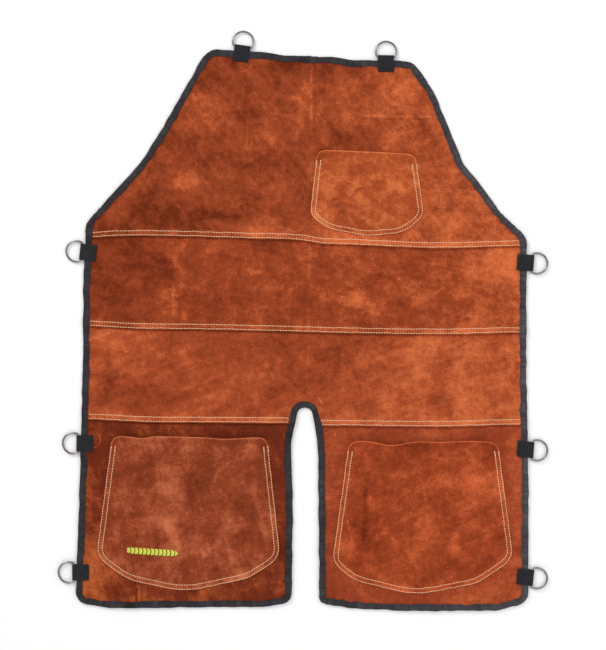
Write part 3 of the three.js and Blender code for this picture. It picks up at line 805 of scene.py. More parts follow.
body_tones = {
    "bib": patches(bib_cut, [
        (0.37, 0.62, 0.1, 0.2, -0.14), (0.25, 0.3, 0.07, 0.1, 0.15), (0.33, 0.09, 0.22, 0.04, 0.22),
        (0.33, 0.97, 0.1, 0.06, -0.2), (0.16, 0.16, 0.07, 0.1, -0.1), (0.46, 0.86, 0.08, 0.12, -0.38),
        (0.56, 0.9, 0.05, 0.08, -0.24), (0.72, 0.78, 0.06, 0.1, 0.08), (0.56, 0.55, 0.1, 0.1, -0.1),
        (0.9, 0.14, 0.1, 0.12, -0.14), (0.3, 0.18, 0.14, 0.03, -0.22), (0.42, 0.25, 0.08, 0.14, -0.06),
        (0.19, 0.42, 0.05, 0.13, -0.34), (0.15, 0.55, 0.05, 0.1, -0.24), (0.07, 0.18, 0.07, 0.16, -0.16),
        (0.24, 0.86, 0.03, 0.1, 0.24), (0.47, 0.54, 0.05, 0.1, 0.26), (0.61, 0.56, 0.03, 0.14, 0.2),
        (0.75, 0.18, 0.04, 0.1, 0.2), (0.52, 0.2, 0.04, 0.1, -0.14),
    ], 21, 0.34),
    "upper_body": patches(upper_cut, [
        (0.05, 0.55, 0.06, 0.5, -0.14), (0.21, 0.6, 0.02, 0.5, 0.3), (0.4, 0.45, 0.1, 0.4, -0.12),
        (0.16, 0.35, 0.05, 0.3, -0.08), (0.7, 0.5, 0.13, 0.5, -0.2), (0.97, 0.5, 0.04, 0.5, -0.1),
        (0.66, 0.12, 0.16, 0.12, -0.12), (0.9, 0.55, 0.05, 0.2, 0.1), (0.52, 0.65, 0.03, 0.25, 0.12),
    ], 22, 0.42),
    "lower_body": patches(lower_cut, [
        (0.06, 0.82, 0.07, 0.2, 0.3), (0.16, 0.35, 0.08, 0.22, -0.36), (0.4, 0.72, 0.1, 0.2, -0.24),
        (0.45, 0.4, 0.04, 0.5, -0.1), (0.58, 0.75, 0.06, 0.2, -0.26), (0.9, 0.6, 0.08, 0.3, 0.14),
        (0.36, 0.18, 0.04, 0.1, 0.2), (0.04, 0.3, 0.03, 0.3, 0.06),
    ], 23, 0.22),
    "left_leg": patches(leg_cuts["left"], [
        (0.06, 0.16, 0.08, 0.16, 0.26), (0.97, 0.35, 0.08, 0.25, -0.1), (0.3, 0.93, 0.2, 0.06, 0.05),
        (0.5, 0.02, 0.4, 0.04, 0.08), (0.05, 0.5, 0.05, 0.2, 0.1), (0.08, 0.78, 0.05, 0.12, -0.16),
        (0.3, 0.08, 0.1, 0.05, -0.2), (0.94, 0.11, 0.05, 0.08, 0.22),
    ], 24),
    "right_leg": patches(leg_cuts["right"], [
        (0.05, 0.3, 0.05, 0.25, -0.14), (0.95, 0.6, 0.08, 0.4, 0.06), (0.08, 0.8, 0.06, 0.1, 0.1),
    ], 25),
}


def with_seams(tone, *seams):
    return lambda x, y: tone(x, y) + sum(seam_shade(seam, x, y) for seam in seams)


hides = {
    "bib": suede_material(
        "bib_hide", 3.1, BODY_DARK, BODY_MIDDLE, BODY_LIGHT, 1.0, 0.9,
        marks=[((-91, 387), 13, 0.9, -1.3, 0.3, 0.5), ((207, 168), 9, 0.8, 1.5, 0.6, 0.3)],
        lines=[
            ((13, 392), (13, 262), 3.0, 6, 0.26), ((19, 392), (17, 280), 4.0, 6, -0.26),
            ((-81, 315), (-86, 250), 2.6, 8, 0.24), ((-175, 309), (-5, 311), 3.0, 14, 0.25),
            ((68, 308), (262, 303), 2.6, 12, 0.24), ((68, 304), (262, 299), 3.0, 12, -0.22),
            ((198, 171), (216, 170), 0.9, 1, 0.5), ((-160, 395), (-245, 235), 5, 20, 0.28),
            ((-205, 290), (-250, 180), 3, 16, -0.25), ((-185, 150), (-90, 158), 3.5, 14, -0.35),
            ((-30, 230), (8, 200), 2.4, 12, -0.3), ((5, 205), (-2, 175), 2.0, 8, -0.35),
            ((230, 215), (292, 178), 3, 12, -0.3), ((245, 226), (300, 196), 2.4, 10, 0.3),
            ((-270, 150), (-120, 136), 2.6, 16, -0.28),
        ],
    ),
    "upper_body": suede_material(
        "upper_body_hide", 7.4, BODY_DARK, colour(152, 65, 34), BODY_LIGHT, 0.95, 0.2,
        lines=[
            ((-199, 106), (-199, 2), 1.6, 3, -0.3), ((-192, 100), (-194, 10), 5.0, 10, 0.2),
            ((10, 120), (8, -18), 3.0, 8, 0.18), ((-270, 90), (-300, 30), 3.0, 14, 0.22),
            ((-140, 60), (-120, 20), 2.4, 10, -0.22), ((120, 80), (150, 40), 2.4, 12, -0.2),
        ],
    ),
    "lower_body": suede_material(
        "lower_body_hide", 12.6, colour(114, 45, 20), colour(165, 73, 40), colour(214, 112, 64), 0.95, -0.3,
        lines=[
            ((20, -110), (30, -126), 1.0, 1, 0.6), ((-196, -2), (-200, -80), 1.6, 5, -0.24),
            ((9, -20), (6, -112), 3.0, 8, 0.2), ((60, -30), (88, -110), 2.6, 12, -0.25),
            ((-60, -50), (-30, -120), 3.0, 16, 0.22), ((-320, -20), (-230, -60), 3.0, 16, 0.25),
        ],
    ),
    "left_leg": suede_material(
        "left_leg_hide", 18.3, colour(82, 28, 12), colour(112, 43, 22), colour(190, 94, 48), 0.7, 1.2,
        marks=[((-317, -178), 13, 0.9, -0.6, 0.2, 0.9), ((-322, -376), 13, 0.9, 0.0, 0.2, 0.6)],
        lines=[
            ((-253, -360), (-250, -428), 2.0, 3, -0.7), ((-247, -360), (-245, -428), 2.0, 5, 0.4),
            ((-300, -150), (-60, -156), 3, 10, -0.3),
        ],
    ),
    "right_leg": suede_material(
        "right_leg_hide", 23.9, colour(108, 42, 20), colour(149, 63, 35), colour(202, 98, 56), 0.7, 0.1,
        lines=[
            ((47, -167), (49, -174), 1.2, 1, 0.7), ((39, -217), (50, -217), 1.2, 1, 0.7),
            ((180, -160), (186, -172), 1.2, 1, 0.5), ((90, -158), (330, -160), 2.6, 12, 0.2),
        ],
    ),
}


def bend_at(piece):
    """Bakes the piece's placement into its mesh; the piece is put in no body."""
    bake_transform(piece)


# (outline, seam at the foot, seam at the head, frame nodes)
PANELS = {
    "bib": (bib_cut, bib_seam, None, ["bib_panel"]),
    "upper_body": (upper_cut, waist_seam, bib_seam, ["upper_body_panel", "upper_body_panel_foot"]),
    "lower_body": (lower_cut, leg_seam, waist_seam, ["lower_body_panel"]),
    "left_leg": (leg_cuts["left"], None, leg_seam, ["left_leg_panel", "left_leg_panel_head"]),
    "right_leg": (leg_cuts["right"], None, leg_seam, ["right_leg_panel", "right_leg_panel_head"]),
}
for panel, (cut, foot_seam, head_seam, nodes) in PANELS.items():
    guides = head_seam.guides(-14, 20) if head_seam else []
    guides += foot_seam.guides(-2, 20) if foot_seam else []
    tone = with_seams(body_tones[panel], *(seam for seam in (head_seam, foot_seam) if seam))
    back = back_of(foot_seam, head_seam)
    piece = leather_piece(f"{panel}_leather", cut, back, hides[panel], tone, lines=guides)
    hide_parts(*nodes)
    if panel == "upper_body":
        bend_at(piece)
    elif panel.endswith("_leg"):
        bend_at(piece)
    else:
        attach(piece, "bib" if panel == "bib" else "waist")

# ==== Stitching of the seams ====
# Thick cream thread, two rows a seam, lockstitched by machine: each stitch dips into its own hole at both
# ends, and the rows wander a little.

STITCH_PITCH = 4.0
STITCH_GAP = 0.3
THREAD_ROUND = 0.66


def thread_material(name, tint, shadow, rough=0.7):
    """Twisted thread: pale strands that run round it, with its shadow colour painted as shade between them
    and spread by dirt.
    """
    material, net, shader, flat = new_material(name, Sheen_Weight=0.1, Specular_IOR_Level=0.3)
    bands = {"wave_type": "BANDS", "bands_direction": "DIAGONAL"}
    twist = net.add("ShaderNodeTexWave", bands, Vector=flat, Scale=620.0, Distortion=1.5).outputs["Fac"]
    dirt = net.noise(flat, 60)
    share = net.plus(net.times(twist, 0.45), net.times(dirt, 0.55))
    dull = net.span(dirt, 0.2, 0.8, rough - 0.1, rough + 0.15)
    surfaced(net, shader, net.mix(share, shadow, tint), dull, twist, 0.6, 0.2 * MM)
    return material


cream_thread = thread_material("cream_thread", colour(250, 214, 174), colour(226, 172, 126))


def tube_faces(rows, wide, base=0, ring=False, turned=False):
    """The faces of a tube of rows of corners: a ring, or with its ends filled. turned faces them in."""
    faces = []
    for r in range(rows if ring else rows - 1):
        here, there = base + r * wide, base + (r + 1) % rows * wide
        for s in range(wide):
            on = (s + 1) % wide
            face = (here + s, here + on, there + on, there + s)
            faces.append((face[0], *face[:0:-1]) if turned else face)
    if not ring:
        last = base + (rows - 1) * wide
        ends = [tuple(range(base, base + wide))[::-1], tuple(range(last, last + wide))]
        faces += [end[::-1] for end in ends] if turned else ends
    return faces


# A stitch from end to end: share of its length, share of its thickness, and rise in thicknesses.
STITCH_SHARE = np.array([-0.5, -0.36, 0.0, 0.36, 0.5])
STITCH_FAT = np.array([0.35, 0.85, 1.0, 0.85, 0.35])
STITCH_RISE = np.array([-0.55, 0.1, 0.3, 0.1, -0.55])
THREAD_FLAT = 0.85  # height of the thread as a share of its width


def stitches(
    name, runs, material, seed, under=(), pitch=STITCH_PITCH, gap=STITCH_GAP, thick=THREAD_ROUND, sides=6
):
    """Every stitch of some rows as one piece. A run is a line of places with the level of the leather.

    under are the runs of the same stitches on the back of the leather.
    """
    draw = np.random.default_rng(seed)
    turn = np.arange(sides) * math.tau / sides
    corners, faces, flat = [], [], []
    for run, facing in [*((r, 1) for r in runs), *((r, -1) for r in under)]:
        along = run_along(run[:, :2])
        count = max(1, round(along[-1] / pitch))
        size = along[-1] / count
        for k in range(count):
            long = size - gap + draw.uniform(-0.1, 0.1)
            at = (k + 0.5) * size + STITCH_SHARE * long
            line = np.stack([np.interp(at, along, run[:, i]) for i in range(3)], 1)
            way = line[-1] - line[0]
            way = way / max(np.linalg.norm(way), 1e-9)
            across = np.array([-way[1], way[0], 0.0])
            across /= max(np.linalg.norm(across), 1e-9)
            up = np.cross(way, across) * facing
            line = line + across * draw.uniform(-0.12, 0.12) + up * (STITCH_RISE[:, None] * thick)
            skew = across * draw.uniform(-0.1, 0.1)
            line = line + np.outer(STITCH_SHARE * 2, skew)
            faces += tube_faces(len(line), sides, base=len(corners))
            for spot, fat, run_at in zip(line, STITCH_FAT, at):
                for t in turn:
                    off = across * math.cos(t) + up * math.sin(t) * THREAD_FLAT
                    corners.append(spot + off * thick * fat)
                    flat.append((run_at, t * thick))
    return new_piece(name, corners, faces, flat, material)


wander = swell(31, 9, 40)
ROW_WANDER = 0.16
LEAST_UNDER = 0.8  # a stitch on the back keeps this level, so that it stays above the floor


def seam_run(seam, line):
    """A seam's row, with the level of the lap that it is sewn on."""
    line = walked(line, 1.5, closed=False)
    x, y = line.T
    y = y + ROW_WANDER * wander(x, y)
    return np.column_stack([x, y, LAP_BACK + LEATHER + seam.pull(x, y) + lay(x, y)])


def below(run):
    """The same row on the back of the panel that it is sewn through."""
    x, y = run[:, 0], run[:, 1]
    return np.column_stack([x, y, np.maximum(LEATHER_BACK + lay(x, y), LEAST_UNDER)])


for seam, body in ((bib_seam, "bib"), (waist_seam, "waist"), (leg_seam, "waist")):
    for name, rows in seam.rows.items():
        for row, line in zip(("upper", "lower"), rows):
            run = seam_run(seam, line)
            seed = len(name) + len(row)
            piece = stitches(f"{name}_{row}_stitches", [run], cream_thread, seed, under=[below(run)])
            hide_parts(f"{name}_{row}_row")
            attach(piece, body)

# ==== Pockets ====
# Patches of the same split leather, rounded at the foot, held by two rows of cream stitches round three
# sides. The middle stands away from the panel, and the open mouth is slack and wavy.

CHEST_ROOM, THIGH_ROOM = 3.2, 5.2  # the middle's height over the sewn border
BORDER = 9
ROOM_SLOPE = 34
MOUTH_CORNER = 13  # the mouth's slack ends this far down its corners
MOUTH_STIFF = 24
LIP_INSET = 1.6
ROW_DENTS = ((1.2, 1.0), (7.5, 1.1))  # (distance of a row from the cut edge, reach of its dent)
DENT, GATHER, GATHER_REACH = 0.3, 0.15, 9


def run_where(mask, line):
    """The one run of a closed line's points for which the mask is true."""
    first = np.flatnonzero(mask & ~np.roll(mask, 1))[0]
    return np.roll(line, -first, 0)[: mask.sum()]


class Pocket:
    """The shape of one pocket.

    mouth gives its slack edge: (share across, drop of the edge, lift of the lip).
    drawn is the frame's outline, cut the same with its mouth slack.
    """

    def __init__(self, name, room, mouth):
        self.name, self.room = name, room
        self.drawn = evened(walked(plan(name), 2.0), 2)
        self.low, self.high = self.drawn.min(0), self.drawn.max(0)
        self.fine = np.linspace(0, 1, 60)
        blur = np.hanning(9) / np.hanning(9).sum()
        share, drop, lift = np.array(mouth).T
        self.drop, self.lift = (
            np.convolve(np.pad(np.interp(self.fine, share, given), 4, mode="edge"), blur, "valid")
            for given in (drop, lift)
        )
        top = self.drawn[self.drawn[:, 1] > self.high[1] - 8]
        mouth_level = top[[np.argmin(top[:, 0]), np.argmax(top[:, 0])], 1].max()
        at_mouth = self.drawn[:, 1] > mouth_level - MOUTH_CORNER
        self.sewn_tree = tree_of(self.drawn[~at_mouth])
        self.ripple = swell(len(name), 45, 110)
        close = ease((self.drawn[:, 1] - mouth_level + MOUTH_CORNER) / MOUTH_CORNER)
        drops = self.across(self.drawn[:, 0], self.drop) * close
        self.cut = self.drawn - np.column_stack([np.zeros(len(drops)), drops])
        self.mouth = run_where(at_mouth, self.cut)
        self.mouth_tree = tree_of(walked(self.mouth, 0.7, closed=False))

    def across(self, x, profile):
        return np.interp((x - self.low[0]) / (self.high[0] - self.low[0]), self.fine, profile)

    def back(self, x, y):
        """The level of its inner face: sewn down at the border, full in the middle, slack at the mouth."""
        far = nearest(self.sewn_tree, x, y)[1]
        body = ease((far - BORDER) / ROOM_SLOPE)
        from_mouth = np.maximum(self.high[1] - y, 0)
        lip = np.exp(-((from_mouth / MOUTH_STIFF) ** 2)) * self.across(x, self.lift)
        level = body * self.room * (1 + 0.14 * self.ripple(x, y)) + lip * ease((far - 2) / 16)
        dents = sum(np.exp(-(((far - row) / reach) ** 2)) for row, reach in ROW_DENTS)
        gathers = fine_swell(x * 1.1, y * 1.1) * np.exp(-np.abs(far - 4) / GATHER_REACH)
        sewn = ease((from_mouth - 8) / 6)
        return LAP_BACK + level + lay(x, y) + sewn * (GATHER * gathers - DENT * dents)

    def top(self, x, y):
        return self.back(x, y) + LEATHER

    def lip_line(self):
        """A line just inside the open edge, which the mesh follows."""
        return self.mouth + left_of(np.gradient(self.mouth, axis=0)) * LIP_INSET

    def row_line(self, row):
        """A row of stitching: the cut edge moved in, up to the height where both rows start on that side."""
        bands = {name: plan(f"{self.name}_{name}_row") for name in ("outer", "inner")}
        inset = np.median(nearest(self.sewn_tree, *bands[row].T)[1])
        middle = (self.low[0] + self.high[0]) / 2
        starts = [
            np.mean([b[(b[:, 0] > middle) == right, 1].max() for b in bands.values()])
            for right in (False, True)
        ]
        line = self.drawn + left_of(np.roll(self.drawn, -1, 0) - np.roll(self.drawn, 1, 0)) * inset
        return run_where(line[:, 1] < np.where(line[:, 0] < middle, *starts), line)

    def tone(self, spots):
        """Its shading: spots of dye, a rubbed border, and the mouth's pale edge with a shadow under it."""

        def at(x, y):
            border = 0.14 * np.exp(-(((nearest(self.sewn_tree, x, y)[1] - 4) / 4) ** 2))
            from_lip = nearest(self.mouth_tree, x, y)[1]
            lip = np.exp(-((from_lip / 1.1) ** 2)) - 0.16 * np.exp(-((from_lip / 9) ** 2))
            return spots(x, y) + border + lip

        return at


chest = Pocket("chest_pocket", CHEST_ROOM, [
    (0, 0, 0), (0.1, 0, 0.3), (0.35, 0.2, 0.9), (0.7, 0.5, 0.6), (0.92, 0.6, 0.2), (1, 0, 0),
])
left_thigh = Pocket("left_thigh_pocket", THIGH_ROOM, [
    (0, 0, 0), (0.1, -0.6, 0.6), (0.2, 0.6, 1.2), (0.255, 3.9, 3.4), (0.31, -0.8, 1.2), (0.42, 0.2, 0.8),
    (0.58, 0.8, 1.6), (0.7, 3.6, 2.6), (0.85, 1.2, 1.0), (1, 0, 0),
])
right_thigh = Pocket("right_thigh_pocket", THIGH_ROOM, [
    (0, 0, 0), (0.1, 0.2, 0.4), (0.18, -1.2, 1.0), (0.24, 1.2, 2.6), (0.31, 6.0, 4.2), (0.39, 3.2, 2.6),
    (0.45, -0.8, 1.6), (0.55, 0.6, 1.6), (0.62, 0.4, 1.0), (0.78, -1.4, 0.8), (0.9, 0.6, 0.4), (1, 0, 0),
])

pocket_hides = {
    "chest_pocket": suede_material(
        "chest_pocket_hide", 31.2, colour(120, 48, 22), colour(168, 76, 40), colour(218, 118, 66), 1.0, 0.6,
        marks=[((34, 208), 13, 1.2, 2.6, 0.1, 0.4)],
        lines=[
            ((40, 178), (100, 205), 2.4, 10, -0.3), ((60, 212), (80, 205), 1.0, 4, 0.4),
            ((110, 222), (150, 190), 2.4, 12, 0.22),
        ]),
    "left_thigh_pocket": suede_material(
        "left_pocket_hide", 37.8, colour(96, 38, 18), colour(140, 61, 34), colour(196, 106, 70), 0.95, 1.4,
        lines=[
            ((-120, -190), (-136, -260), 2.2, 12, 0.25), ((-210, -180), (-190, -240), 2.4, 12, -0.22),
            ((-142, -178), (-146, -196), 0.9, 3, 0.4),
        ]),
    "right_thigh_pocket": suede_material(
        "right_pocket_hide", 44.1, colour(104, 38, 16), colour(154, 64, 33), colour(210, 101, 57), 0.9, -0.5,
        lines=[
            ((95, -230), (90, -340), 3.6, 10, -0.22), ((108, -225), (112, -330), 3.2, 10, -0.2),
            ((100, -240), (100, -330), 2.0, 8, 0.2), ((64, -290), (76, -340), 2.0, 6, 0.3),
        ]),
}
pocket_spots = {
    "chest_pocket": [
        (0.22, 0.7, 0.1, 0.2, 0.12), (0.5, 0.85, 0.1, 0.1, -0.12), (0.34, 0.35, 0.12, 0.15, -0.2),
        (0.82, 0.35, 0.1, 0.2, 0.2), (0.4, 0.1, 0.3, 0.08, -0.1),
    ],
    "left_thigh_pocket": [
        (0.4, 0.45, 0.05, 0.25, 0.24), (0.52, 0.72, 0.08, 0.06, -0.22), (0.8, 0.1, 0.1, 0.07, 0.26),
        (0.88, 0.85, 0.07, 0.1, -0.2), (0.12, 0.5, 0.05, 0.3, 0.1), (0.3, 0.12, 0.12, 0.06, 0.1),
        (0.08, 0.92, 0.1, 0.08, -0.24), (0.28, 0.8, 0.06, 0.08, -0.2), (0.75, 0.62, 0.09, 0.12, -0.18),
        (0.4, 0.33, 0.1, 0.12, 0.18), (0.66, 0.24, 0.1, 0.1, 0.3),
    ],
    "right_thigh_pocket": [
        (0.22, 0.28, 0.08, 0.08, -0.12), (0.1, 0.2, 0.05, 0.08, 0.22), (0.3, 0.9, 0.12, 0.06, -0.16),
        (0.55, 0.6, 0.2, 0.2, 0.06), (0.62, 0.15, 0.1, 0.08, -0.16), (0.85, 0.4, 0.08, 0.2, 0.06),
        (0.78, 0.72, 0.14, 0.3, 0.28), (0.15, 0.46, 0.09, 0.12, -0.28), (0.4, 0.45, 0.07, 0.08, -0.18),
        (0.18, 0.62, 0.02, 0.2, -0.16), (0.28, 0.5, 0.02, 0.2, -0.14),
    ],
}
SEWN_AGAIN = (0.45, 0.3, 0.45)  # a row's ends are sewn over, and the second thread lies this far off
for pocket, body, under, slot in (
    (chest, "bib", "bib_leather", "suede"),
    (left_thigh, "left_leg", "left_leg_leather", "pocket_suede"),
    (right_thigh, "right_leg", "right_leg_leather", "pocket_suede"),
):
    name = pocket.name
    tone = pocket.tone(patches(pocket.cut, pocket_spots[name], len(name)))
    leather = leather_piece(
        f"{name}_leather", pocket.cut, pocket.back, pocket_hides[name], tone,
        step=3.0, lines=[pocket.lip_line()],
    )
    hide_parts(name)
    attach(leather, body)
    for row in ("outer", "inner"):
        x, y = walked(pocket.row_line(row), 1.5, closed=False).T
        off_x, off_y = ROW_WANDER * wander(x, y), ROW_WANDER * wander(y, x)
        run = np.column_stack([x + off_x, y + off_y, pocket.top(x, y)])
        again = [end + SEWN_AGAIN for end in (run[:7], run[-7:])]
        seed = len(name) + len(row)
        piece = stitches(f"{name}_{row}_stitches", [run, *again], cream_thread, seed, under=[below(run)])
        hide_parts(f"{name}_{row}_row")
        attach(piece, body)

# ==== Embroidered bar ====
# A plain bar of satin stitch on the left thigh pocket, laid like the ripples of a weld bead: shiny
# lime thread, each stitch a curve across the bar.

mark_low, mark_high = box_mm("embroidered_bar")
mark_middle = (mark_low + mark_high)[:2] / 2
mark_length = (mark_high - mark_low)[0] - 7
MARK_WIDTH = 10.2
MARK_SLOPE = math.radians(-4)
mark_way = np.array([math.cos(MARK_SLOPE), math.sin(MARK_SLOPE)])
mark_up = np.array([-mark_way[1], mark_way[0]])
BEAD_STITCHES, RIPPLE = 104, 8  # each ripple has this many places, of which two stay bare
BEAD_TURN, BEAD_BOW = 1.25, 3.4  # a stitch is this part of a curve, and bows this far along the bar
lime_thread = thread_material("lime_thread", colour(248, 250, 110), colour(196, 206, 56), 0.45)


def bead_run(share, ripple):
    """One curved stitch of the bead, at a share of the bar's length."""
    turn = np.linspace(-BEAD_TURN, BEAD_TURN, 9)
    narrow = math.sqrt(max(0.05, 1 - (2 * share - 1) ** 12))
    along = (share - 0.5) * mark_length + BEAD_BOW * np.cos(turn) - 1.2
    across = MARK_WIDTH / 2 * narrow * np.sin(turn) / math.sin(BEAD_TURN)
    x, y = (mark_middle + np.outer(along, mark_way) + np.outer(across, mark_up)).T
    return np.column_stack([x, y, left_thigh.top(x, y) + 0.25 + 0.7 * np.cos(turn) + ripple**1.5])


bead = [
    bead_run(k / (BEAD_STITCHES - 1), k % RIPPLE / (RIPPLE - 1))
    for k in range(BEAD_STITCHES) if k % RIPPLE > 1
]
embroidery = stitches("embroidered_bead", bead, lime_thread, 8, pitch=40, gap=0.2, thick=0.5)
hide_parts("embroidered_bar")
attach(embroidery, "left_leg")

# ==== Edge binding ====
# Black woven tape, folded over the cut edge of the leather and sewn through with one row of black
# thread. It is eased round the curves by hand, so its inner edge waves and gathers.

TAPE = 0.8
TAPE_WIDTH = 10
LEAST_TAPE = 0.05  # no part of the tape lies lower
tape_wave = swell(41, 14, 60)
tape_gather = swell(42, 6, 13)

# Places along the edge where the tape is bunched: round the corners and in the hollows of the sides.
GATHERED = [
    (270, 218), (305, 170), (325, 152), (-335, 140), (-318, 170), (10, 392),
    (-128, 380), (165, 372), (-335, -425), (30, -425), (335, -425), (-20, -425),
]
BUNCH_REACH = 26
WAVER = 0.55  # how far the tape's width strays
CALM, BUNCHED = 0.12, 0.35  # gathers of its inner edge where it runs flat, and how much more where bunched
edge_in = left_of(evened(np.roll(apron_edge, -1, 0) - np.roll(apron_edge, 1, 0), 2))

# The tape's outline across its fold, closed: round its outside from front to back, then round its inside.
# (share of the width from the outer edge, level: -1 back to 1 front, skin: 1 outside or 0 inside)
SEWN = (0.86, 1, 1)
SECTION = [
    (1.0, 1, 0.5), (0.97, 1, 1), SEWN, (0.72, 1, 1), (0.5, 1, 1), (0.3, 1, 1), (0.15, 0.93, 1),
    (0.05, 0.6, 1), (0.0, 0, 1), (0.05, -0.6, 1), (0.15, -0.93, 1), (0.3, -1, 1), (0.5, -1, 1),
    (0.8, -1, 1), (0.97, -1, 1), (1.0, -1, 0.5), (0.97, -1, 0), (0.5, -1, 0), (0.2, -1, 0),
    (0.1, -0.5, 0), (0.085, 0, 0), (0.1, 0.5, 0), (0.2, 1, 0), (0.5, 1, 0), (0.97, 1, 0),
]


def gather_at(x, y):
    """1 where the tape is bunched, 0 where it runs flat."""
    bunches = sum(np.exp(-((x - gx) ** 2 + (y - gy) ** 2) / BUNCH_REACH**2) for gx, gy in GATHERED)
    return np.clip(bunches, 0, 1)


# Where one length of tape ends under the next: at the top, beside the slot and at the hem.
JOINTS, JOINT_LENGTH = [(2, 395), (-20, -174), (-259, -434)], 15
joint_runs = [edge_run[np.argmin(((apron_edge - spot) ** 2).sum(1))] for spot in JOINTS]


def tape_rows(numbers):
    """The tape at some points of the edge: rows of corners, their flat pattern, and 1 where it is doubled."""
    rows, flats = [], []
    at, inward, run = apron_edge[numbers], edge_in[numbers], edge_run[numbers]
    bunched = gather_at(*at.T)
    gathers = (CALM + BUNCHED * bunched) * tape_gather(run, 0 * run)
    width = TAPE_WIDTH + WAVER * tape_wave(run, 0 * run) + gathers
    lapped = sum(ease((JOINT_LENGTH / 2 + 1 - np.abs(run - where)) / 2) for where in joint_runs)
    outer_wave = 0.35 * tape_wave(run + 500, 0 * run) + 0.3 * bunched * tape_gather(run + 300, 0 * run)
    for share, side_level, skin in SECTION:
        off = share * width
        place = at + inward * (off + outer_wave * (1 - share))[:, None]
        x, y = place.T
        shift = lay(x, y)
        front = leather_top(x, y) + 0.3 + 0.55 * lapped
        back = LEATHER_BACK - 0.3 + shift
        ruck = share**1.5 * (0.12 + 0.75 * bunched) * np.abs(tape_gather(run + 90, 2.0 * off))
        middle, half = (front + back) / 2, (front - back) / 2
        level = middle + side_level * (half + TAPE * skin) + (ruck if side_level > 0 else 0)
        rows.append(np.column_stack([x, y, np.maximum(level, LEAST_TAPE)]))
        flats.append(np.column_stack([run, np.full_like(run, 12 + side_level * (4 + 8 * share))]))
    return np.stack(rows, 1), np.stack(flats, 1), lapped


# Weave: ribs across the cloth, slanting yarns over them, and worn or dusty places.
net, given, result = node_group(
    "weave", {"Place": "Vector", "Pitch": "Float"}, {"Ribs": "Float", "Yarn": "Float", "Wear": "Float"}
)
pace = net.math("DIVIDE", 3.14159, given["Pitch"])
parts = net.add("ShaderNodeSeparateXYZ", Vector=given["Place"]).outputs
slant = net.plus(parts["Y"], net.times(parts["X"], 0.5))
for socket, across in (("Ribs", parts["X"]), ("Yarn", slant)):
    net.feed(result[socket], net.math("ABSOLUTE", net.math("SINE", net.times(across, pace))))
net.feed(result["Wear"], net.noise(net.stretched(given["Place"], 1, 1, 0, (0.3, 0.1, 0)), 55, 4, 0.6))
weave_group = net.tree


def woven_material(name, dark, light, tint, pitch, rough=0.75, puckers=1.0):
    """Black woven yarn: ribs across it, a slightly browner and bluer cast in places, dust, painted shade
    along its puckers, and lighter where the mesh's tone is higher.
    """
    material, net, shader, flat = new_material(
        name, Sheen_Weight=0.04, Sheen_Roughness=0.45, Specular_IOR_Level=0.2
    )
    made = place_group(net, weave_group, Place=flat, Pitch=pitch * MM)
    worn = net.plus(net.times(made["Ribs"], 0.14), net.span(made["Wear"], 0.3, 0.75, 0.0, 0.34))
    body = net.mix(net.plus(worn, tone_of(net)), dark, light)
    cast = net.mix(net.span(net.noise(flat, 30, 2), 0.45, 0.6, 0.0, 0.5), body, tint)
    pulled = net.noise(net.stretched(flat, 300, 45, 0.25), 1, 3, 0.6, 0.5)
    # painted shade: the cloth darkens along its puckers, which the bump also raises
    pucker_shaded = net.mix(net.span(pulled, 0.42, 0.62, 0.0, 0.15 * puckers), cast, dark)
    dull = net.span(made["Wear"], 0.2, 0.8, rough - 0.12, rough + 0.15)
    cloth = net.plus(net.times(made["Ribs"], 0.7), net.times(made["Yarn"], 0.3))
    surfaced(net, shader, pucker_shaded, dull, net.plus(cloth, net.times(pulled, puckers)), 0.8, 0.4 * MM)
    return material


tape_cloth = woven_material(
    "binding_tape", colour(14, 13, 14), colour(108, 104, 107), colour(52, 50, 62), 0.9, puckers=3.0
)
black_thread = thread_material("black_thread", colour(48, 48, 52), colour(16, 16, 18), 0.6)

PAST_FOLD = 12  # a binding piece runs on over its fold, and meets the next one there
right_edge, left_edge = box_mm("right_waist_binding")[1][0], box_mm("left_waist_binding")[0][0]
slot_low, slot_high = box_mm("slot_binding")
under_bib = FOLD["bib_fold"] - PAST_FOLD
over_left, over_right = FOLD["left_leg_fold"] + PAST_FOLD, FOLD["right_leg_fold"] + PAST_FOLD
ends = [
    (right_edge, under_bib), (left_edge, under_bib), (left_edge, over_left),
    (slot_low[0] + TAPE_WIDTH, over_left), (slot_high[0] - TAPE_WIDTH, over_right), (right_edge, over_right),
]
end_numbers = [int(np.argmin(((apron_edge - spot) ** 2).sum(1))) for spot in ends]
BINDING_FOLDS = {  # (body below, body above, fold)
    "bib_binding": ("waist", "bib", "bib_fold"),
    "left_leg_binding": ("left_leg", "waist", "left_leg_fold"),
    "right_leg_binding": ("right_leg", "waist", "right_leg_fold"),
}
for k, (node, first, last) in enumerate(zip(EDGE_ORDER, end_numbers, np.roll(end_numbers, -1))):
    numbers = np.arange(first, last + 1 + (len(apron_edge) if last < first else 0)) % len(apron_edge)
    rows, flats, lapped = tape_rows(numbers)
    faces = tube_faces(*rows.shape[:2], turned=True)
    # Painted reflection: the tape grows lighter towards +x, where it reflects more light; it is also darker
    # where two lengths overlap.
    sheen_and_lap_tone = ease((rows[:, :, 0] + 40) / 420) * 0.36 - 0.2 * lapped[:, None]
    tape = new_piece(
        f"{node}_tape", rows.reshape(-1, 3), faces, flats.reshape(-1, 2), tape_cloth, sheen_and_lap_tone.ravel()
    )
    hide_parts(node)
    sewn = SECTION.index(SEWN)
    run = rows[:, sewn] * 0.5 + rows[:, sewn + 1] * 0.5
    thread = stitches(f"{node}_stitches", [run], black_thread, k + 50, pitch=3.4, thick=0.34, sides=5)
    for piece in (tape, thread):
        if node in BINDING_FOLDS:
            bend_at(piece)
        else:
            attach(piece, "waist")

# ==== Webbing tabs ====
# Short lengths of heavy black webbing. Each goes round the bar of its ring, holds the bound edge between
# its two ends, and is sewn through with a box of black stitches. The front end is turned under.

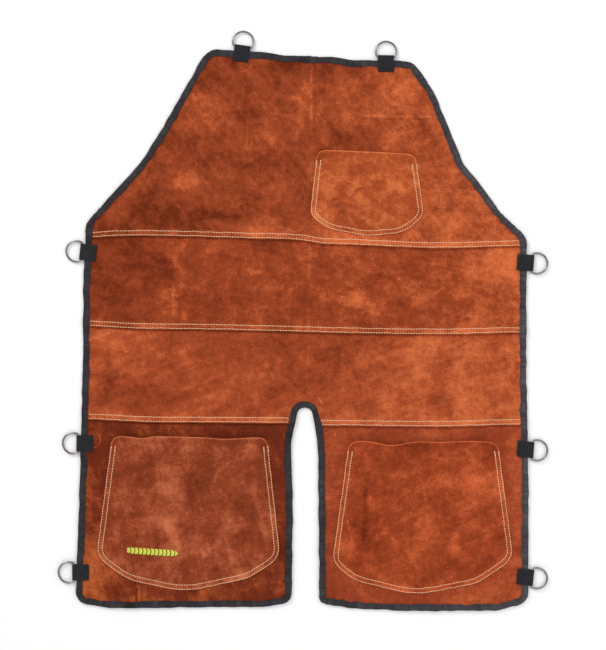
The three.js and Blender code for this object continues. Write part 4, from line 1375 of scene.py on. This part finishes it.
WEBBING, WEBBING_WIDTH = 1.1, 24
BAR_OUT, BAR_LEVEL = 4.4, 3.2
TAB_TOP = 6.4
TAB_REACH = 17.5
LEAST_WEBBING = 0.02  # no part of the webbing lies lower
BACK_PATTERN = 40  # the back's part of the flat pattern starts this far from the front's
webbing_cloth = woven_material(
    "tab_webbing", colour(10, 11, 13), colour(70, 72, 78), colour(26, 28, 34), 1.3, rough=0.7
)
TAB_BODY = {place: "bib" for place in ("top_left", "top_right", "left_shoulder", "right_shoulder")}
TAB_BODY |= {f"{side}_{part}": f"{side}_leg" for side in ("left", "right") for part in ("thigh", "hem")}


def tab_face(off):
    """The level of the webbing's front, which stands up where its end is turned under."""
    return TAB_TOP + 0.2 * math.sin(0.5 * off) + 0.35 * ease((-TAB_REACH + 8.5 - off) / 2)


def tab_line():
    """The webbing's middle seen from its side, (out from the edge, level), from the end turned under."""
    mid = WEBBING / 2
    hem = tab_face(-TAB_REACH) - mid
    under = WEBBING + 0.05
    fold = [(7, under), (1.2, under), (0.35, 1.5 * mid), (0.1, mid), (0.35, 0.5 * mid), (1.2, 0)]
    line = [(-TAB_REACH + off, hem - drop) for off, drop in fold]
    line += [(off, tab_face(off) - mid) for off in np.linspace(-TAB_REACH + 3, BAR_OUT - 1.5, 14)]
    radius, turn = BAR_LEVEL - mid, np.linspace(0, math.pi, 11)
    line += zip(BAR_OUT + radius * np.sin(turn), BAR_LEVEL + radius * np.cos(turn))
    line += [(off, mid) for off in np.linspace(BAR_OUT - 2, -14, 8)]
    line += [(-15, mid + 0.5), (-16, mid + 1.05), (-TAB_REACH, mid + 1.1)]
    return walked(np.array(line), 0.9, closed=False)


# The webbing's outline across: (share of its half width, share of its half thickness).
ACROSS = [
    (-1, 0), (-0.985, 0.7), (-0.94, 1), (-0.6, 0.94), (-0.3, 0.98), (0, 0.94), (0.3, 0.98), (0.6, 0.94),
    (0.94, 1), (0.985, 0.7), (1, 0), (0.985, -0.7), (0.94, -1), (0.5, -0.95), (0, -0.95), (-0.5, -0.95),
    (-0.94, -1), (-0.985, -0.7),
]
side_line = tab_line()
side_up = left_of(np.gradient(side_line, axis=0))
side_run = run_along(side_line)


APRON_MIDDLE = (0, -130)


class Bar:
    """Where a ring's straight bar lies in plan, and the ways out from the edge and along the bar."""

    def __init__(self, place):
        joint = next(j for j in frame["joints"] if j["name"] == f"{place}_ring_swing")
        self.middle = np.array(joint["pos_m"][:2]) / MM
        self.out = np.array([-joint["axis"][1], joint["axis"][0]])
        if np.dot(self.out, self.middle - APRON_MIDDLE) < 0:
            self.out = -self.out
        self.along = np.array([-self.out[1], self.out[0]])

    def spot(self, out, along):
        return self.middle + self.out * out + self.along * along


bars = {place: Bar(place) for place in PLACES}

# The box of stitches and its cross, in (out from the edge, along the bar).
NEAR, FAR, SIDE = -1.5, -15.5, 9.5
TAB_SEWING = [
    [(FAR, -SIDE), (FAR, SIDE), (NEAR, SIDE), (NEAR, -SIDE), (FAR, -SIDE)],
    [(FAR, -SIDE), (NEAR, SIDE)],
    [(FAR, SIDE), (NEAR, -SIDE)],
]
for number, place in enumerate(PLACES):
    bar = bars[place]
    draw = np.random.default_rng(60 + number)
    lean, wide = draw.uniform(-0.03, 0.03), WEBBING_WIDTH / 2 * draw.uniform(0.985, 1.01)
    frayed = swell(70 + number, 5, 14)
    corners, flat = [], []
    for (off, level), (up_out, up), at in zip(side_line, side_up, side_run):
        for share, thick in ACROSS:
            across = share * (wide + 0.18 * frayed(at, share * 3.0)) + lean * (off - BAR_OUT)
            push = thick * WEBBING / 2
            creased = 0.13 * frayed(0.8 * at + 30, 0.4 * across) if 8 < at < 24 else 0
            spot = bar.spot(off - BAR_OUT + up_out * push, across)
            corners.append((*spot, max(level + creased + up * push, LEAST_WEBBING)))
            flat.append((at, across + (BACK_PATTERN if thick < 0 else 0)))
    faces = tube_faces(len(side_line), len(ACROSS))
    tab = new_piece(f"{place}_webbing_tab", corners, faces, flat, webbing_cloth)
    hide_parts(f"{place}_tab")
    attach(tab, TAB_BODY[place])
    runs = [
        np.array([
            (*bar.spot(off - BAR_OUT, across), tab_face(off) + 0.02)
            for off, across in walked(np.array(line), 0.8, closed=False)
        ])
        for line in TAB_SEWING
    ]
    sewing = stitches(
        f"{place}_tab_stitches", runs, black_thread, 80 + number, pitch=2.6, gap=0.5, thick=0.3, sides=5
    )
    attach(sewing, TAB_BODY[place])

# ==== Rings ====
# Steel wire bent to a D and nickel plated. The ends meet in a butt joint in the middle of the straight
# bar, inside the webbing, and each ring turns on that bar.

WIRE = 3.0
RING_WIDTH, RING_DEPTH = 34.2, 25
WIRE_STEP = 0.5
WIRE_SIDES = 14
SIDE_PATTERN = 0.67  # the flat pattern's width of one side of the wire


def ring_line():
    """The wire's middle: (out from the bar, along the bar), from the joint round to the joint."""
    radius = (RING_WIDTH - WIRE) / 2
    middle = RING_DEPTH - WIRE / 2 - radius
    half = math.sqrt(radius**2 - middle**2)
    bow = math.pi / 2 + math.asin(middle / radius)
    turn = np.linspace(-bow, bow, 200)
    line = np.concatenate([
        np.column_stack([np.zeros(20), np.linspace(0, -half, 20)]),
        np.column_stack([middle + radius * np.cos(turn), radius * np.sin(turn)]),
        np.column_stack([np.zeros(20), np.linspace(half, 0, 20)])[:-1],
    ])
    return evened(walked(line, WIRE_STEP, closed=False), 4)


nickel, net, shader, flat = new_material("nickel_plate", Metallic=1.0)
smear = net.noise(net.stretched(flat, 40, 260), 1, 4, 0.6)
spots = net.noise(flat, 500)
plate = net.mix(net.span(smear, 0.35, 0.65), colour(104, 98, 100), colour(176, 168, 170))
plate = net.mix(net.span(spots, 0.62, 0.75, 0.0, 0.5), plate, colour(84, 72, 78))
surfaced(net, shader, plate, net.span(smear, 0.3, 0.7, 0.16, 0.34), smear, 0.25, 0.2 * MM)

wire_line = ring_line()
wire_side = left_of(np.roll(wire_line, -1, 0) - np.roll(wire_line, 1, 0))
for place in PLACES:
    corners, pattern = [], []
    for k, (middle, side) in enumerate(zip(wire_line, wire_side)):
        for s in range(WIRE_SIDES):
            turn = s * math.tau / WIRE_SIDES
            spot = bars[place].spot(*(middle + side * math.cos(turn) * WIRE / 2))
            corners.append((*spot, BAR_LEVEL + math.sin(turn) * WIRE / 2))
            pattern.append((k * WIRE_STEP, s * SIDE_PATTERN))
    faces = tube_faces(len(wire_line), WIRE_SIDES, ring=True)
    ring = new_piece(f"{place}_d_ring", corners, faces, pattern, nickel)
    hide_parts(f"{place}_ring")
    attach(ring, f"{place}_ring")
